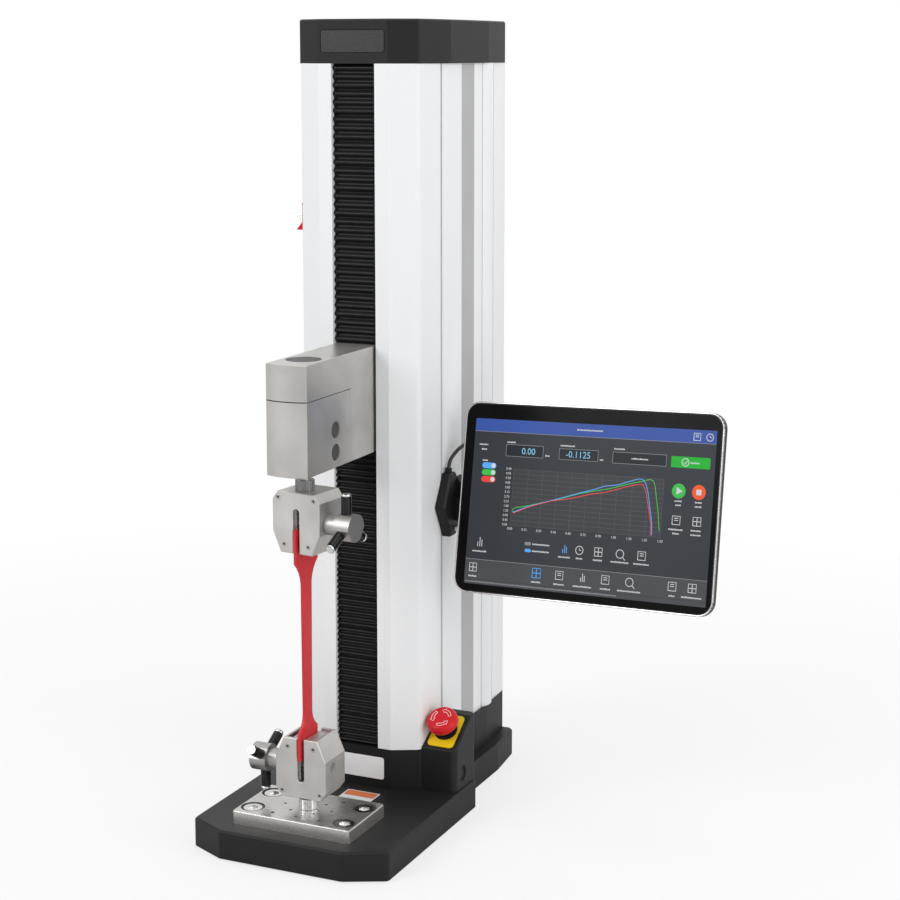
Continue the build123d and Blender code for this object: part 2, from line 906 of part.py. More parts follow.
def drive_frame():
    """Welded frame under the column: top plate on two cheeks, with the drive's holes."""
    top = column_bottom
    middle_y = tower_y + (frame_front + frame_back) / 2
    length = frame_back - frame_front
    with BuildPart() as frame:
        with BuildSketch(Plane.XY.offset(top)):
            with Locations((0, middle_y)):
                Rectangle(2 * frame_half, length)
        extrude(amount=-frame_plate)
        with BuildSketch(Plane.XY.offset(base_top)):
            for side in (-1, 1):
                with Locations((side * (frame_half - frame_cheek / 2), middle_y)):
                    Rectangle(frame_cheek, length)
        extrude(amount=top - frame_plate - base_top)
        with BuildSketch(Plane.XY.offset(top)):
            with Locations((0, screw_y)):
                Circle(journal_radius + slot_lip)
            with Locations((0, motor_y)):
                Circle(motor_shaft_radius + slot_lip)
        extrude(amount=-frame_plate, mode=Mode.SUBTRACT)
        with BuildSketch(Plane.XY.offset(top)):
            with Locations((0, motor_y)):
                Circle(motor_pilot_radius + running_gap)
        extrude(amount=-motor_pilot_height, mode=Mode.SUBTRACT)
    finish(frame, "drive_frame")


def lead_screw():
    """Screw with a collar on the lower bearing and a journal at each end."""
    lower, upper = bearing_bottoms()
    collar_z = lower + bearing_height + slide_gap
    with BuildPart() as screw:
        with BuildSketch(Plane.XY.offset(pulley_z)):
            with Locations((0, screw_y)):
                Circle(journal_radius)
        extrude(amount=upper + bearing_height - pulley_z)
        with BuildSketch(Plane.XY.offset(collar_z)):
            with Locations((0, screw_y)):
                Circle(screw_radius)
        extrude(amount=upper - collar_z - slot_lip)
        with BuildSketch(Plane.XY.offset(collar_z)):
            with Locations((0, screw_y)):
                Circle(screw_radius + overrun)
        extrude(amount=slot_lip)
    finish(screw, "lead_screw")


def toothed_pulley(centre_y, radius, teeth, bore):
    """Add a toothed pulley with two flanges to the current part."""
    bottom = pulley_z
    for rim, height in (
        (radius + pulley_flange_rise, pulley_flange),
        (radius, pulley_height),
        (radius + pulley_flange_rise, pulley_flange),
    ):
        with BuildSketch(Plane.XY.offset(bottom)) as disc:
            with Locations((0, centre_y)):
                Circle(rim)
                Circle(bore, mode=Mode.SUBTRACT)
                with PolarLocations(radius, teeth):
                    if rim == radius:
                        Circle(tooth_radius, mode=Mode.SUBTRACT)
        extrude(disc.sketch, amount=height)
        bottom += height


def pulleys():
    """Toothed pulley on the screw, and the smaller one with the motor's shaft."""
    with BuildPart() as driven:
        toothed_pulley(screw_y, screw_pulley_radius, screw_pulley_teeth, journal_radius + running_gap)
    finish(driven, "screw_pulley")
    with BuildPart() as driving:
        toothed_pulley(motor_y, motor_pulley_radius, motor_pulley_teeth, motor_shaft_radius / 2)
        with BuildSketch(Plane.XY.offset(pulley_z)):
            with Locations((0, motor_y)):
                Circle(motor_shaft_radius)
        extrude(amount=column_bottom + motor_shaft_grip - pulley_z)
    finish(driving, "motor_pulley")


def timing_belt():
    """Flat loop of belt round both pulleys."""
    inner = belt_gap
    outer = belt_gap + belt_thickness
    with BuildPart() as belt:
        with BuildSketch(Plane.XY.offset(pulley_z + pulley_flange + overrun)):
            for grow, mode in ((outer, Mode.ADD), (inner, Mode.SUBTRACT)):
                large = Pos(0, screw_y) * Circle(screw_pulley_radius + grow, mode=Mode.PRIVATE)
                small = Pos(0, motor_y) * Circle(motor_pulley_radius + grow, mode=Mode.PRIVATE)
                make_hull(large.edges() + small.edges(), mode=mode)
        extrude(amount=pulley_height - 2 * overrun)
    finish(belt, "timing_belt")


def drive_motor():
    """Square motor with end bells, standing on its pilot, bored for its shaft."""
    centre = (0, motor_y)
    with BuildPart() as motor:
        with BuildSketch(Plane.XY.offset(column_bottom)):
            with Locations(centre):
                RectangleRounded(motor_size, motor_size, motor_corner)
        extrude(amount=motor_height)
        with BuildSketch(Plane.XY.offset(column_bottom + motor_bell)):
            with Locations(centre):
                Rectangle(motor_size + overrun, motor_size + overrun)
                RectangleRounded(
                    motor_size - 2 * motor_groove,
                    motor_size - 2 * motor_groove,
                    motor_corner,
                    mode=Mode.SUBTRACT,
                )
        extrude(amount=motor_height - 2 * motor_bell, mode=Mode.SUBTRACT)
        with BuildSketch(Plane.XY.offset(column_bottom)):
            with Locations(centre):
                Circle(motor_pilot_radius)
        extrude(amount=-motor_pilot_height)
        with BuildSketch(Plane.XY.offset(column_bottom - motor_pilot_height)):
            with Locations(centre):
                Circle(motor_shaft_radius + running_gap)
        extrude(amount=motor_shaft_grip + motor_pilot_height + overrun, mode=Mode.SUBTRACT)
    finish(motor, "drive_motor")


def control_board():
    """Circuit board with chips and capacitors, on standoffs from the rear wall."""
    wall_y = tower_back_y - column_wall
    middle_z = board_bottom + board_height / 2
    board = Plane(origin=(0, wall_y - board_standoff, middle_z), x_dir=(1, 0, 0), z_dir=(0, -1, 0))
    spread_x = board_width - 2 * board_inset
    spread_z = board_height - 2 * board_inset
    with BuildPart() as pcb:
        with BuildSketch(board):
            Rectangle(board_width, board_height)
        extrude(amount=board_thickness)
        with BuildSketch(board):
            with GridLocations(spread_x, spread_z, 2, 2):
                Circle(board_standoff_radius)
        extrude(amount=-board_standoff)
        with BuildSketch(board.offset(board_thickness)):
            with GridLocations(board_width / 2, board_height / 2, 2, 2):
                Rectangle(chip_size, chip_size)
        extrude(amount=chip_height)
        with BuildSketch(board.offset(board_thickness)):
            with GridLocations(board_width / 2, 0, 2, 1):
                Circle(capacitor_radius)
        extrude(amount=capacitor_height)
    finish(pcb, "control_board")


def work_plate():
    """Steel plate with four counterbored bolts and a staggered pattern of tapped holes."""
    fine = tap_spacing_x / 2
    with BuildPart() as plate:
        with BuildSketch(Plane.XY.offset(base_top)):
            with Locations((0, load_y)):
                RectangleRounded(plate_width, plate_depth, plate_corner)
        extrude(amount=plate_thickness)
        chamfer(plate.faces().sort_by(Axis.Z)[-1].edges(), plate_edge)
        with Locations((0, load_y, plate_top)):
            with GridLocations(bolt_spacing_x, bolt_spacing_y, 2, 2):
                CounterBoreHole(bolt_radius + running_gap, bolt_pocket_radius, bolt_pocket_depth)
            with GridLocations(2 * tap_spacing_x, 2 * tap_spacing_y, 2, 2):
                Hole(tap_radius)
            with GridLocations(2 * tap_spacing_x, 2 * tap_spacing_y, 2, 1):
                Hole(tap_fine_radius, tap_depth)
            with GridLocations(2 * tap_spacing_x, 2 * tap_spacing_y, 1, 2):
                Hole(tap_fine_radius, tap_depth)
            with GridLocations(2 * fine, 2 * fine, 2, 2):
                Hole(tap_fine_radius, tap_depth)
            Hole(stud_radius + stud_fit, lower_stud_sink)
    finish(plate, "work_plate")


def work_plate_bolts():
    """Four hexagon socket bolts through the work plate into the base."""
    seat = plate_top - bolt_pocket_depth
    shank = seat - base_top + bolt_length - slide_gap
    with BuildPart() as bolts:
        with Locations((0, load_y, seat)):
            with GridLocations(bolt_spacing_x, bolt_spacing_y, 2, 2):
                Cylinder(bolt_head_radius, bolt_head_height, align=(Align.CENTER, Align.CENTER, Align.MIN))
                Cylinder(bolt_radius, shank, align=(Align.CENTER, Align.CENTER, Align.MAX))
        with BuildSketch(Plane.XY.offset(seat + bolt_head_height)):
            with Locations((0, load_y)):
                with GridLocations(bolt_spacing_x, bolt_spacing_y, 2, 2):
                    RegularPolygon(bolt_hex / 2, hexagon_side_count, major_radius=False)
        extrude(amount=-bolt_hex_depth, mode=Mode.SUBTRACT)
    finish(bolts, "work_plate_bolts")


def lower_stud():
    """Threaded stud from the work plate into the lower grip, with its collar."""
    bottom = plate_top - lower_stud_sink + slide_gap
    with BuildPart() as stud:
        with BuildSketch(Plane.XY.offset(bottom)):
            with Locations((0, load_y)):
                Circle(stud_radius)
        extrude(amount=grip_lower_top + stud_grip - slide_gap - bottom)
        with BuildSketch(Plane.XY.offset(grip_lower_top)):
            with Locations((0, load_y)):
                Circle(lower_stud_collar_radius)
        extrude(amount=-lower_stud_collar)
    finish(stud, "lower_stud")


def lock_nut(bottom, name):
    """Knurled ring nut on a stud."""
    with BuildPart() as nut:
        with BuildSketch(Plane.XY.offset(bottom)):
            with Locations((0, load_y)):
                Circle(lock_nut_radius)
                Circle(stud_radius + stud_fit, mode=Mode.SUBTRACT)
                with PolarLocations(lock_nut_radius, lock_nut_knurls):
                    Circle(knurl_radius, mode=Mode.SUBTRACT)
        extrude(amount=lock_nut_height)
    finish(nut, name)


def elevation(grip, depth):
    """Front elevation of a grip at a local depth, local y towards the stud."""
    return Plane(origin=grip.from_local_coords((0, depth, 0)), x_dir=grip.x_dir, z_dir=-grip.y_dir)


def grip_points():
    """Front outline of a grip: bevelled crown, straight flanks and tapered mouth."""
    half = grip_width / 2
    return mirrored([
        (half - grip_mouth_inset, -grip_height),
        (half, grip_mouth_drop - grip_height),
        (half, -grip_crown_drop),
        (half - grip_crown_inset, 0),
    ])


def spindle_plane(grip, reach):
    """Plane across the clamp spindle at a local reach, normal towards the hub."""
    origin = grip.from_local_coords((reach, 0, -spindle_drop))
    return Plane(origin=origin, x_dir=grip.y_dir, z_dir=grip.x_dir)


def grip_body(grip, name):
    """Core of a grip: a bridge with the stud bore over two walls with the spindle bores."""
    core = grip_depth - 2 * grip_plate
    cavity = grip_height - grip_cavity_top
    with BuildPart() as body:
        with BuildSketch(elevation(grip, grip_offset - core / 2)):
            closed_face(grip_points())
            with Locations((0, cavity / 2 - grip_height)):
                Rectangle(2 * grip_cavity_half, cavity, mode=Mode.SUBTRACT)
        extrude(amount=-core)
        with BuildSketch(grip):
            Circle(stud_radius + stud_fit)
        extrude(amount=-stud_grip, mode=Mode.SUBTRACT)
        with BuildSketch(spindle_plane(grip, 0)):
            Circle(spindle_radius + running_gap)
        extrude(amount=grip_width, both=True, mode=Mode.SUBTRACT)
    finish(body, name)


def grip_plates(grip, name):
    """Front and rear plate of a grip, each with its sight slot."""
    slot_round = -grip_slot_top - grip_slot_half
    slot_length = grip_height + slot_round
    with BuildPart() as plates:
        for depth in (grip_offset - grip_depth / 2, grip_offset + grip_depth / 2 - grip_plate):
            with BuildSketch(elevation(grip, depth)):
                closed_face(grip_points())
                with Locations((0, slot_round)):
                    Circle(grip_slot_half, mode=Mode.SUBTRACT)
                with Locations((0, slot_round - slot_length / 2)):
                    Rectangle(2 * grip_slot_half, slot_length, mode=Mode.SUBTRACT)
            extrude(amount=-grip_plate)
        outer = plates.faces().filter_by(Axis(grip.origin, grip.y_dir))
        front = outer.sort_by(Axis(grip.origin, grip.y_dir))[0]
        chamfer(front.edges(), seam_chamfer)
    finish(plates, name)


def grip_jaw(grip, side, name):
    """Jaw block with a serrated face, bored for the spindle."""
    depth = grip_depth - 2 * grip_plate - 2 * slide_gap
    face = strip_thickness / 2 + jaw_gap
    bottom = -grip_height + slot_lip
    top = -grip_cavity_top - overrun
    pitch = (top - bottom) / jaw_teeth
    teeth = []
    for step in range(jaw_teeth):
        teeth.append((side * (face + jaw_tooth_depth), bottom + step * pitch))
        teeth.append((side * face, bottom + (step + 1 / 2) * pitch))
    with BuildPart() as jaw:
        with BuildSketch(elevation(grip, grip_offset - depth / 2)):
            closed_face(teeth + [
                (side * (face + jaw_tooth_depth), top),
                (side * (face + jaw_thickness), top),
                (side * (face + jaw_thickness), bottom),
            ])
        extrude(amount=-depth)
        with BuildSketch(spindle_plane(grip, 0)):
            Circle(spindle_radius + slide_gap)
        extrude(amount=grip_width, both=True, mode=Mode.SUBTRACT)
    finish(jaw, name)


def rod_planes(grip):
    """Planes across the handle rods, normals outwards, one rod towards the stud."""
    hub = spindle_plane(grip, grip_width / 2 + neck_gap + neck_length + hub_length * rod_share)
    planes = []
    for step in range(rod_count):
        angle = radians(90 + step * 360 / rod_count)
        outwards = grip.y_dir * cos(angle) + grip.z_dir * sin(angle)
        planes.append(Plane(origin=hub.origin, x_dir=grip.x_dir, z_dir=outwards))
    return planes


def clamp_spindle(grip, name):
    """Two-handed spindle with its neck, three-sided hub and rod sockets."""
    half = grip_width / 2
    with BuildPart() as spindle:
        with BuildSketch(spindle_plane(grip, overrun - half)):
            Circle(spindle_radius)
        extrude(amount=2 * half + neck_gap)
        with BuildSketch(spindle_plane(grip, half + neck_gap)):
            Circle(neck_radius)
        extrude(amount=neck_length)
        with BuildSketch(spindle_plane(grip, half + neck_gap + neck_length)):
            Circle(hub_radius)
            RegularPolygon(hub_flat, 3, major_radius=False, rotation=hub_turn_angle, mode=Mode.INTERSECT)
        extrude(amount=hub_length)
        for rod in rod_planes(grip):
            with BuildSketch(rod.offset(rod_root)):
                Circle(rod_radius + running_gap)
            extrude(amount=hub_radius, mode=Mode.SUBTRACT)
    finish(spindle, name)


def clamp_rods(grip, name):
    """Three handle rods of a clamp hub, each with a slimmer bright tip."""
    with BuildPart() as rods:
        for rod in rod_planes(grip):
            with BuildSketch(rod.offset(rod_root)):
                Circle(rod_radius)
            extrude(amount=rod_reach - rod_tip - rod_root)
            with BuildSketch(rod.offset(rod_reach - rod_tip)):
                Circle(rod_tip_radius)
            extrude(amount=rod_tip)
    finish(rods, name)


def vice_grip(prefix, grip):
    """All the pieces of one vice grip."""
    grip_body(grip, f"{prefix}_grip_body")
    grip_plates(grip, f"{prefix}_grip_plates")
    grip_jaw(grip, 1, f"{prefix}_jaw_hub_side")
    grip_jaw(grip, -1, f"{prefix}_jaw_far_side")
    clamp_spindle(grip, f"{prefix}_clamp_spindle")
    clamp_rods(grip, f"{prefix}_clamp_rods")


def specimen():
    """Dumb-bell strip: wide ends in the grips, and a neck that twists with the upper grip."""
    lower_neck = strip_bottom + strip_lower_end + strip_lower_shoulder
    upper_neck = strip_top - strip_upper_end - strip_upper_shoulder
    ends = (
        (strip_bottom, strip_bottom + strip_lower_end, lower_neck, -1, 0),
        (strip_top, strip_top - strip_upper_end, upper_neck, 1, upper_grip_turn),
    )
    necks = []
    with BuildPart() as strip:
        for tip, wide, neck, way, turn in ends:
            across = (-sin(radians(turn)), cos(radians(turn)), 0)
            through = (cos(radians(turn)), sin(radians(turn)), 0)
            with BuildSketch(Plane(origin=(0, load_y, 0), x_dir=across, z_dir=through)):
                with BuildLine():
                    right = TangentArc((strip_neck_half, neck), (strip_end_half, wide), tangent=(0, way))
                    left = TangentArc((-strip_neck_half, neck), (-strip_end_half, wide), tangent=(0, way))
                    Polyline(right @ 1, (strip_end_half, tip), (-strip_end_half, tip), left @ 1)
                    Line(left @ 0, right @ 0)
                make_face()
            extrude(amount=strip_thickness / 2, both=True)
            necks.append(Plane(origin=(0, load_y, neck), x_dir=through, z_dir=(0, 0, 1)))
        for neck in necks:
            with BuildSketch(neck):
                Rectangle(strip_thickness, 2 * strip_neck_half)
        loft()
    finish(strip, "specimen")


def arm_plan(back_y):
    """Plan of the crosshead: bowed front, straight sides, flat back."""
    front = front_y + arm_setback
    with BuildSketch() as plan:
        with BuildLine():
            bow = ThreePointArc((-arm_half, front), (0, front - arm_bulge), (arm_half, front))
            Polyline(bow @ 1, (arm_half, back_y), (-arm_half, back_y), bow @ 0)
        make_face()
    return plan.sketch


def crosshead_arm():
    """Stepped arm over the load cell, with its neck through the bellows slot."""
    back_y = tower_y - arm_gap
    carriage_y = tower_y + carriage_place
    with BuildPart() as arm:
        with BuildSketch(Plane.XY.offset(cell_top)):
            add(arm_plan(back_y))
        extrude(amount=arm_top - cell_top)
        with BuildSketch(Plane.XY.offset(arm_bottom)):
            with Locations((0, back_y - arm_block_length / 2)):
                Rectangle(2 * arm_half, arm_block_length)
        extrude(amount=cell_top - arm_bottom)
        chamfer(arm.faces().sort_by(Axis.Z)[-1].edges(), seam_chamfer)
        chamfer(arm.faces().sort_by(Axis.Z)[0].edges(), seam_chamfer)
        chamfer(arm.faces().sort_by(Axis.Y)[0].edges().sort_by(Axis.Z)[0], seam_chamfer)
        with BuildSketch(Plane.XY.offset(arm_bottom)):
            with Locations((0, (back_y + carriage_y) / 2)):
                Rectangle(2 * arm_neck_half, carriage_y - back_y)
        extrude(amount=arm_top - arm_bottom)
        with BuildSketch(Plane.XY.offset(arm_top)):
            with Locations((0, load_y)):
                Circle(arm_disc_radius + running_gap)
        extrude(amount=-arm_disc_depth, mode=Mode.SUBTRACT)
    finish(arm, "crosshead_arm")


def plug_places():
    """Planes of the two round plugs on the load cell's right side."""
    plug_y = front_y + arm_setback + cell_plug_place
    return [
        Plane(origin=(arm_half, plug_y, arm_bottom + height), x_dir=(0, 1, 0), z_dir=(1, 0, 0))
        for height in (cell_plug_high, cell_plug_low)
    ]


def load_cell():
    """Load cell under the arm, with its stud and two recessed side plugs."""
    with BuildPart() as cell:
        with BuildSketch(Plane.XY.offset(arm_bottom)):
            add(arm_plan(front_y + arm_setback + cell_length))
        extrude(amount=cell_top - arm_bottom)
        chamfer(cell.faces().sort_by(Axis.Z)[0].edges(), seam_chamfer)
        chamfer(cell.faces().sort_by(Axis.Z)[-1].edges(), seam_chamfer)
        for place in plug_places():
            with BuildSketch(place):
                Circle(cell_pocket_radius)
            extrude(amount=-cell_pocket_depth, mode=Mode.SUBTRACT)
        with BuildSketch(Plane.XY.offset(arm_bottom)):
            with Locations((0, load_y)):
                Circle(stud_radius)
        extrude(amount=grip_upper_top - stud_grip + slide_gap - arm_bottom)
    finish(cell, "load_cell")


def arm_plugs():
    """Black disc on top of the arm and the two plugs in the load cell's side."""
    with BuildPart() as plugs:
        with BuildSketch(Plane.XY.offset(arm_top - arm_disc_depth)):
            with Locations((0, load_y)):
                Circle(arm_disc_radius)
        extrude(amount=arm_disc_thickness)
        for place in plug_places():
            with BuildSketch(place.offset(-cell_pocket_depth)):
                Circle(cell_pocket_radius - running_gap)
            extrude(amount=cell_plug_thickness)
    finish(plugs, "arm_plugs")


def carriage():
    """Carriage plate behind the arm, its four rail blocks and the screw's nut."""
    front = tower_y + carriage_place
    back = front + carriage_thickness
    middle_z = (arm_bottom + arm_top) / 2
    height = arm_top - arm_bottom + 2 * carriage_over
    with BuildPart() as plate:
        with BuildSketch(Plane.XY.offset(middle_z - height / 2)):
            with Locations((0, (front + back) / 2)):
                Rectangle(2 * carriage_half, carriage_thickness)
        extrude(amount=height)
    finish(plate, "carriage")
    with BuildPart() as blocks:
        lowest = middle_z - (block_spread + block_height) / 2
        for bottom in (lowest, lowest + block_spread):
            with BuildSketch(Plane.XY.offset(bottom)):
                for x in (-rail_spacing / 2, rail_spacing / 2):
                    with Locations((x, back + block_depth / 2)):
                        Rectangle(block_width, block_depth)
                    with Locations((x, spine_y - rail_depth / 2)):
                        Rectangle(
                            rail_width + 2 * slide_gap,
                            rail_depth + 2 * slide_gap,
                            mode=Mode.SUBTRACT,
                        )
            extrude(amount=block_height)
    finish(blocks, "carriage_blocks")
    with BuildPart() as nut:
        with BuildSketch(Plane.XY.offset(middle_z - nut_height / 2)):
            with Locations((0, back + nut_depth / 2)):
                Rectangle(nut_width, nut_depth)
            with Locations((0, screw_y)):
                Circle(screw_radius + thread_gap, mode=Mode.SUBTRACT)
        extrude(amount=nut_height)
    finish(nut, "screw_nut")


def bellows(bottom, top, pleats, name):
    """Pleated cover that fills the column's mouth between two heights."""
    front = tower_y + bellows_front
    step = (top - bottom) / (2 * pleats)
    folds = [
        (front + bellows_fold * (count % 2), bottom + count * step)
        for count in range(2 * pleats + 1)
    ]
    with BuildPart() as cover:
        with BuildSketch(Plane.YZ):
            closed_face(folds + [(y + bellows_skin, z) for y, z in reversed(folds)])
        extrude(amount=bellows_half, both=True)
    finish(cover, name)


def slot_foot(side, bottom, height):
    """Add a slot nut and its neck, for a piece that slides along a column slot."""
    neck_outer = column_side_half + slide_gap
    neck_inner = column_side_half - slot_lip - slide_gap
    head_inner = column_side_half - slot_lip - slot_head_depth + slide_gap
    with BuildSketch(Plane.XY.offset(bottom)) as section:
        with Locations((side * (neck_outer + neck_inner) / 2, slot_y)):
            Rectangle(neck_outer - neck_inner, slot_mouth - 2 * slide_gap)
        with Locations((side * (neck_inner + head_inner) / 2, slot_y)):
            Rectangle(neck_inner - head_inner, slot_head - 2 * slide_gap)
    extrude(section.sketch, amount=height)


def knob(plane, radius, length, shank_radius, shank_length, name):
    """Knurled thumb screw: head outwards from the plane, shank inwards."""
    with BuildPart() as screw:
        with BuildSketch(plane):
            Circle(radius)
            with PolarLocations(radius, lock_nut_knurls):
                Circle(knurl_radius, mode=Mode.SUBTRACT)
        extrude(amount=length)
        with BuildSketch(plane):
            Circle(shank_radius)
        extrude(amount=-shank_length)
    finish(screw, name)


def limit_stop():
    """Red limit pointer in the left slot, with its thumb screw."""
    inner = -column_side_half - slide_gap
    with BuildPart() as pointer:
        with BuildSketch(Plane(origin=(0, slot_y, 0), x_dir=(1, 0, 0), z_dir=(0, -1, 0))):
            closed_face([
                (inner, stop_z),
                (inner - limit_reach, stop_z),
                (inner - limit_block_reach, stop_z + limit_nose),
                (inner - limit_block_reach, stop_z + limit_height),
                (inner, stop_z + limit_height),
            ])
        extrude(amount=limit_depth / 2, both=True)
        slot_foot(-1, stop_z, limit_height)
        with BuildSketch(limit_plane()):
            Circle(thumb_shank_radius + running_gap)
        extrude(amount=-limit_block_reach - column_wall, mode=Mode.SUBTRACT)
    finish(pointer, "limit_stop")
    knob(
        limit_plane(),
        thumb_radius,
        thumb_length,
        thumb_shank_radius,
        limit_block_reach,
        "limit_stop_screw",
    )


def limit_plane():
    """Plane under the head of the limit pointer's thumb screw."""
    x = -column_side_half - 2 * slide_gap - limit_block_reach
    return Plane(origin=(x, slot_y, stop_z + thumb_height), x_dir=(0, 1, 0), z_dir=(-1, 0, 0))


def tablet_plane(roll=0.0):
    """Plane of the tablet's glass, turned in its own plane by the roll."""
    yaw = radians(tablet_yaw_angle)
    tilt = radians(tablet_tilt)
    level = Plane(
        origin=(column_side_half + tablet_reach, tower_y + tablet_place, bracket_z + tablet_rise),
        x_dir=(cos(yaw), sin(yaw), 0),
        z_dir=(sin(yaw) * cos(tilt), -cos(yaw) * cos(tilt), sin(tilt)),
    )
    turned = level.x_dir * cos(radians(roll)) + level.y_dir * sin(radians(roll))
    return Plane(origin=level.origin, x_dir=turned, z_dir=level.z_dir)


def hinge_plane():
    """Level plane at the tilt hinge behind the tablet, local x along the hinge pin."""
    level = tablet_plane()
    origin = level.from_local_coords((0, -knuckle_offset, -knuckle_setback))
    return Plane(origin=origin, x_dir=level.x_dir, z_dir=(0, 0, 1))


def bracket_y():
    """Middle of the bracket plate along the column's side."""
    return tower_y + bracket_place


def swivel_centre():
    """Middle of the swivel eye, level with the tilt hinge."""
    x = column_side_half + slide_gap + bracket_thickness + swivel_reach
    return Vector(x, bracket_y() + bracket_stub_place, hinge_plane().origin.Z)


def bracket_base():
    """Six-sided bracket plate on the right slot, with its stub, web and swivel lugs."""
    face_x = column_side_half + slide_gap
    outer_x = face_x + bracket_thickness
    pivot = swivel_centre()
    stub_end = outer_x + bracket_stub_length
    with BuildPart() as bracket:
        with BuildSketch(Plane(origin=(face_x, bracket_y(), bracket_z), x_dir=(0, 1, 0), z_dir=(1, 0, 0))):
            closed_face([
                (bracket_tip_half, bracket_half_height),
                (bracket_half_width, 0),
                (bracket_tip_half, -bracket_half_height),
                (-bracket_tip_half, -bracket_half_height),
                (-bracket_half_width, 0),
                (-bracket_tip_half, bracket_half_height),
            ])
            fillet(vertices(), bracket_edge)
        extrude(amount=bracket_thickness)
        chamfer(bracket.faces().sort_by(Axis.X)[-1].edges(), bracket_edge)
        slot_foot(1, bracket_z - bracket_half_height / 2, bracket_half_height)
        with BuildSketch(Plane.XY.offset(pivot.Z - bracket_stub_half)):
            with Locations(((outer_x + stub_end) / 2 - overrun, pivot.Y)):
                Rectangle(bracket_stub_length + 2 * overrun, 2 * bracket_stub_half)
            with Locations(((stub_end + pivot.X) / 2, pivot.Y)):
                Rectangle(pivot.X - stub_end, 2 * bracket_stub_half)
            with Locations((pivot.X, pivot.Y)):
                Circle(bracket_stub_half)
                Circle(swivel_pin_radius + running_gap, mode=Mode.SUBTRACT)
        extrude(amount=2 * bracket_stub_half)
        gap = arm_bar_height / 2 + slide_gap
        with BuildSketch(Plane.XY.offset(pivot.Z - gap)):
            with Locations((pivot.X + bracket_stub_half / 2, pivot.Y)):
                Rectangle(3 * bracket_stub_half, 3 * bracket_stub_half)
        extrude(amount=2 * gap, mode=Mode.SUBTRACT)
        with BuildSketch(Plane(origin=(0, pivot.Y, 0), x_dir=(1, 0, 0), z_dir=(0, -1, 0))):
            top = pivot.Z + bracket_stub_half
            closed_face([
                (outer_x - bracket_edge, top - overrun),
                (stub_end, top - overrun),
                (stub_end, top),
                (outer_x, top + bracket_web_height),
                (outer_x - bracket_edge, top + bracket_web_height),
            ])
        extrude(amount=bracket_web / 2, both=True)
        with BuildSketch(knob_plane()):
            Circle(bracket_knob_shank + running_gap)
        extrude(amount=-bracket_thickness - column_wall, mode=Mode.SUBTRACT)
        route = lead_points()
        for foot, radius in ((route[0], exit_gland_radius), (route[-1], pin_gland_radius)):
            with BuildSketch(Plane.XY.offset(foot.Z)):
                with Locations((foot.X, foot.Y)):
                    Circle(radius)
                    Circle(lead_radius + running_gap, mode=Mode.SUBTRACT)
            extrude(amount=gland_height)
    finish(bracket, "bracket_base")
    knob(
        knob_plane(),
        bracket_knob_radius,
        bracket_knob_length,
        bracket_knob_shank,
        bracket_thickness,
        "bracket_thumbscrew",
    )


def lead_points():
    """Corners of the tablet lead's route, from the bracket's top edge to the swivel pin's top."""
    pivot = swivel_centre()
    edge_x = column_side_half + slide_gap + lead_place
    start = Vector(edge_x, bracket_y(), bracket_z + bracket_half_height)
    pin_top = Vector(pivot.X, pivot.Y, pivot.Z + bracket_stub_half)
    steps = [start + Vector(*step) for step in lead_route]
    return [start, *steps, pin_top + Vector(0, 0, lead_drop), pin_top]


def tablet_lead():
    """Lead from the bracket into the hollow swivel pin: straight runs joined by wide arcs."""
    points = lead_points()
    runs = [after - before for before, after in zip(points, points[1:])]
    radii = [
        lead_bend_share * min(first.length, second.length) / tan(radians(first.get_angle(second) / 2))
        for first, second in zip(runs, runs[1:])
    ]
    print("tablet lead radii", [round(radius, 1) for radius in radii])
    with BuildPart() as lead:
        with BuildLine() as line:
            FilletPolyline(*points, radius=radii)
        with BuildSketch(Plane(origin=points[0], z_dir=runs[0])):
            Circle(lead_radius)
        sweep()
    print("tablet lead length", round(sum(edge.length for edge in line.edges()), 1))
    finish(lead, "tablet_lead")


def knob_plane():
    """Plane under the head of the bracket's thumb screw, low on the plate."""
    x = column_side_half + 2 * slide_gap + bracket_thickness
    return Plane(
        origin=(x, bracket_y(), bracket_z - bracket_knob_drop),
        x_dir=(0, 1, 0),
        z_dir=(1, 0, 0),
    )


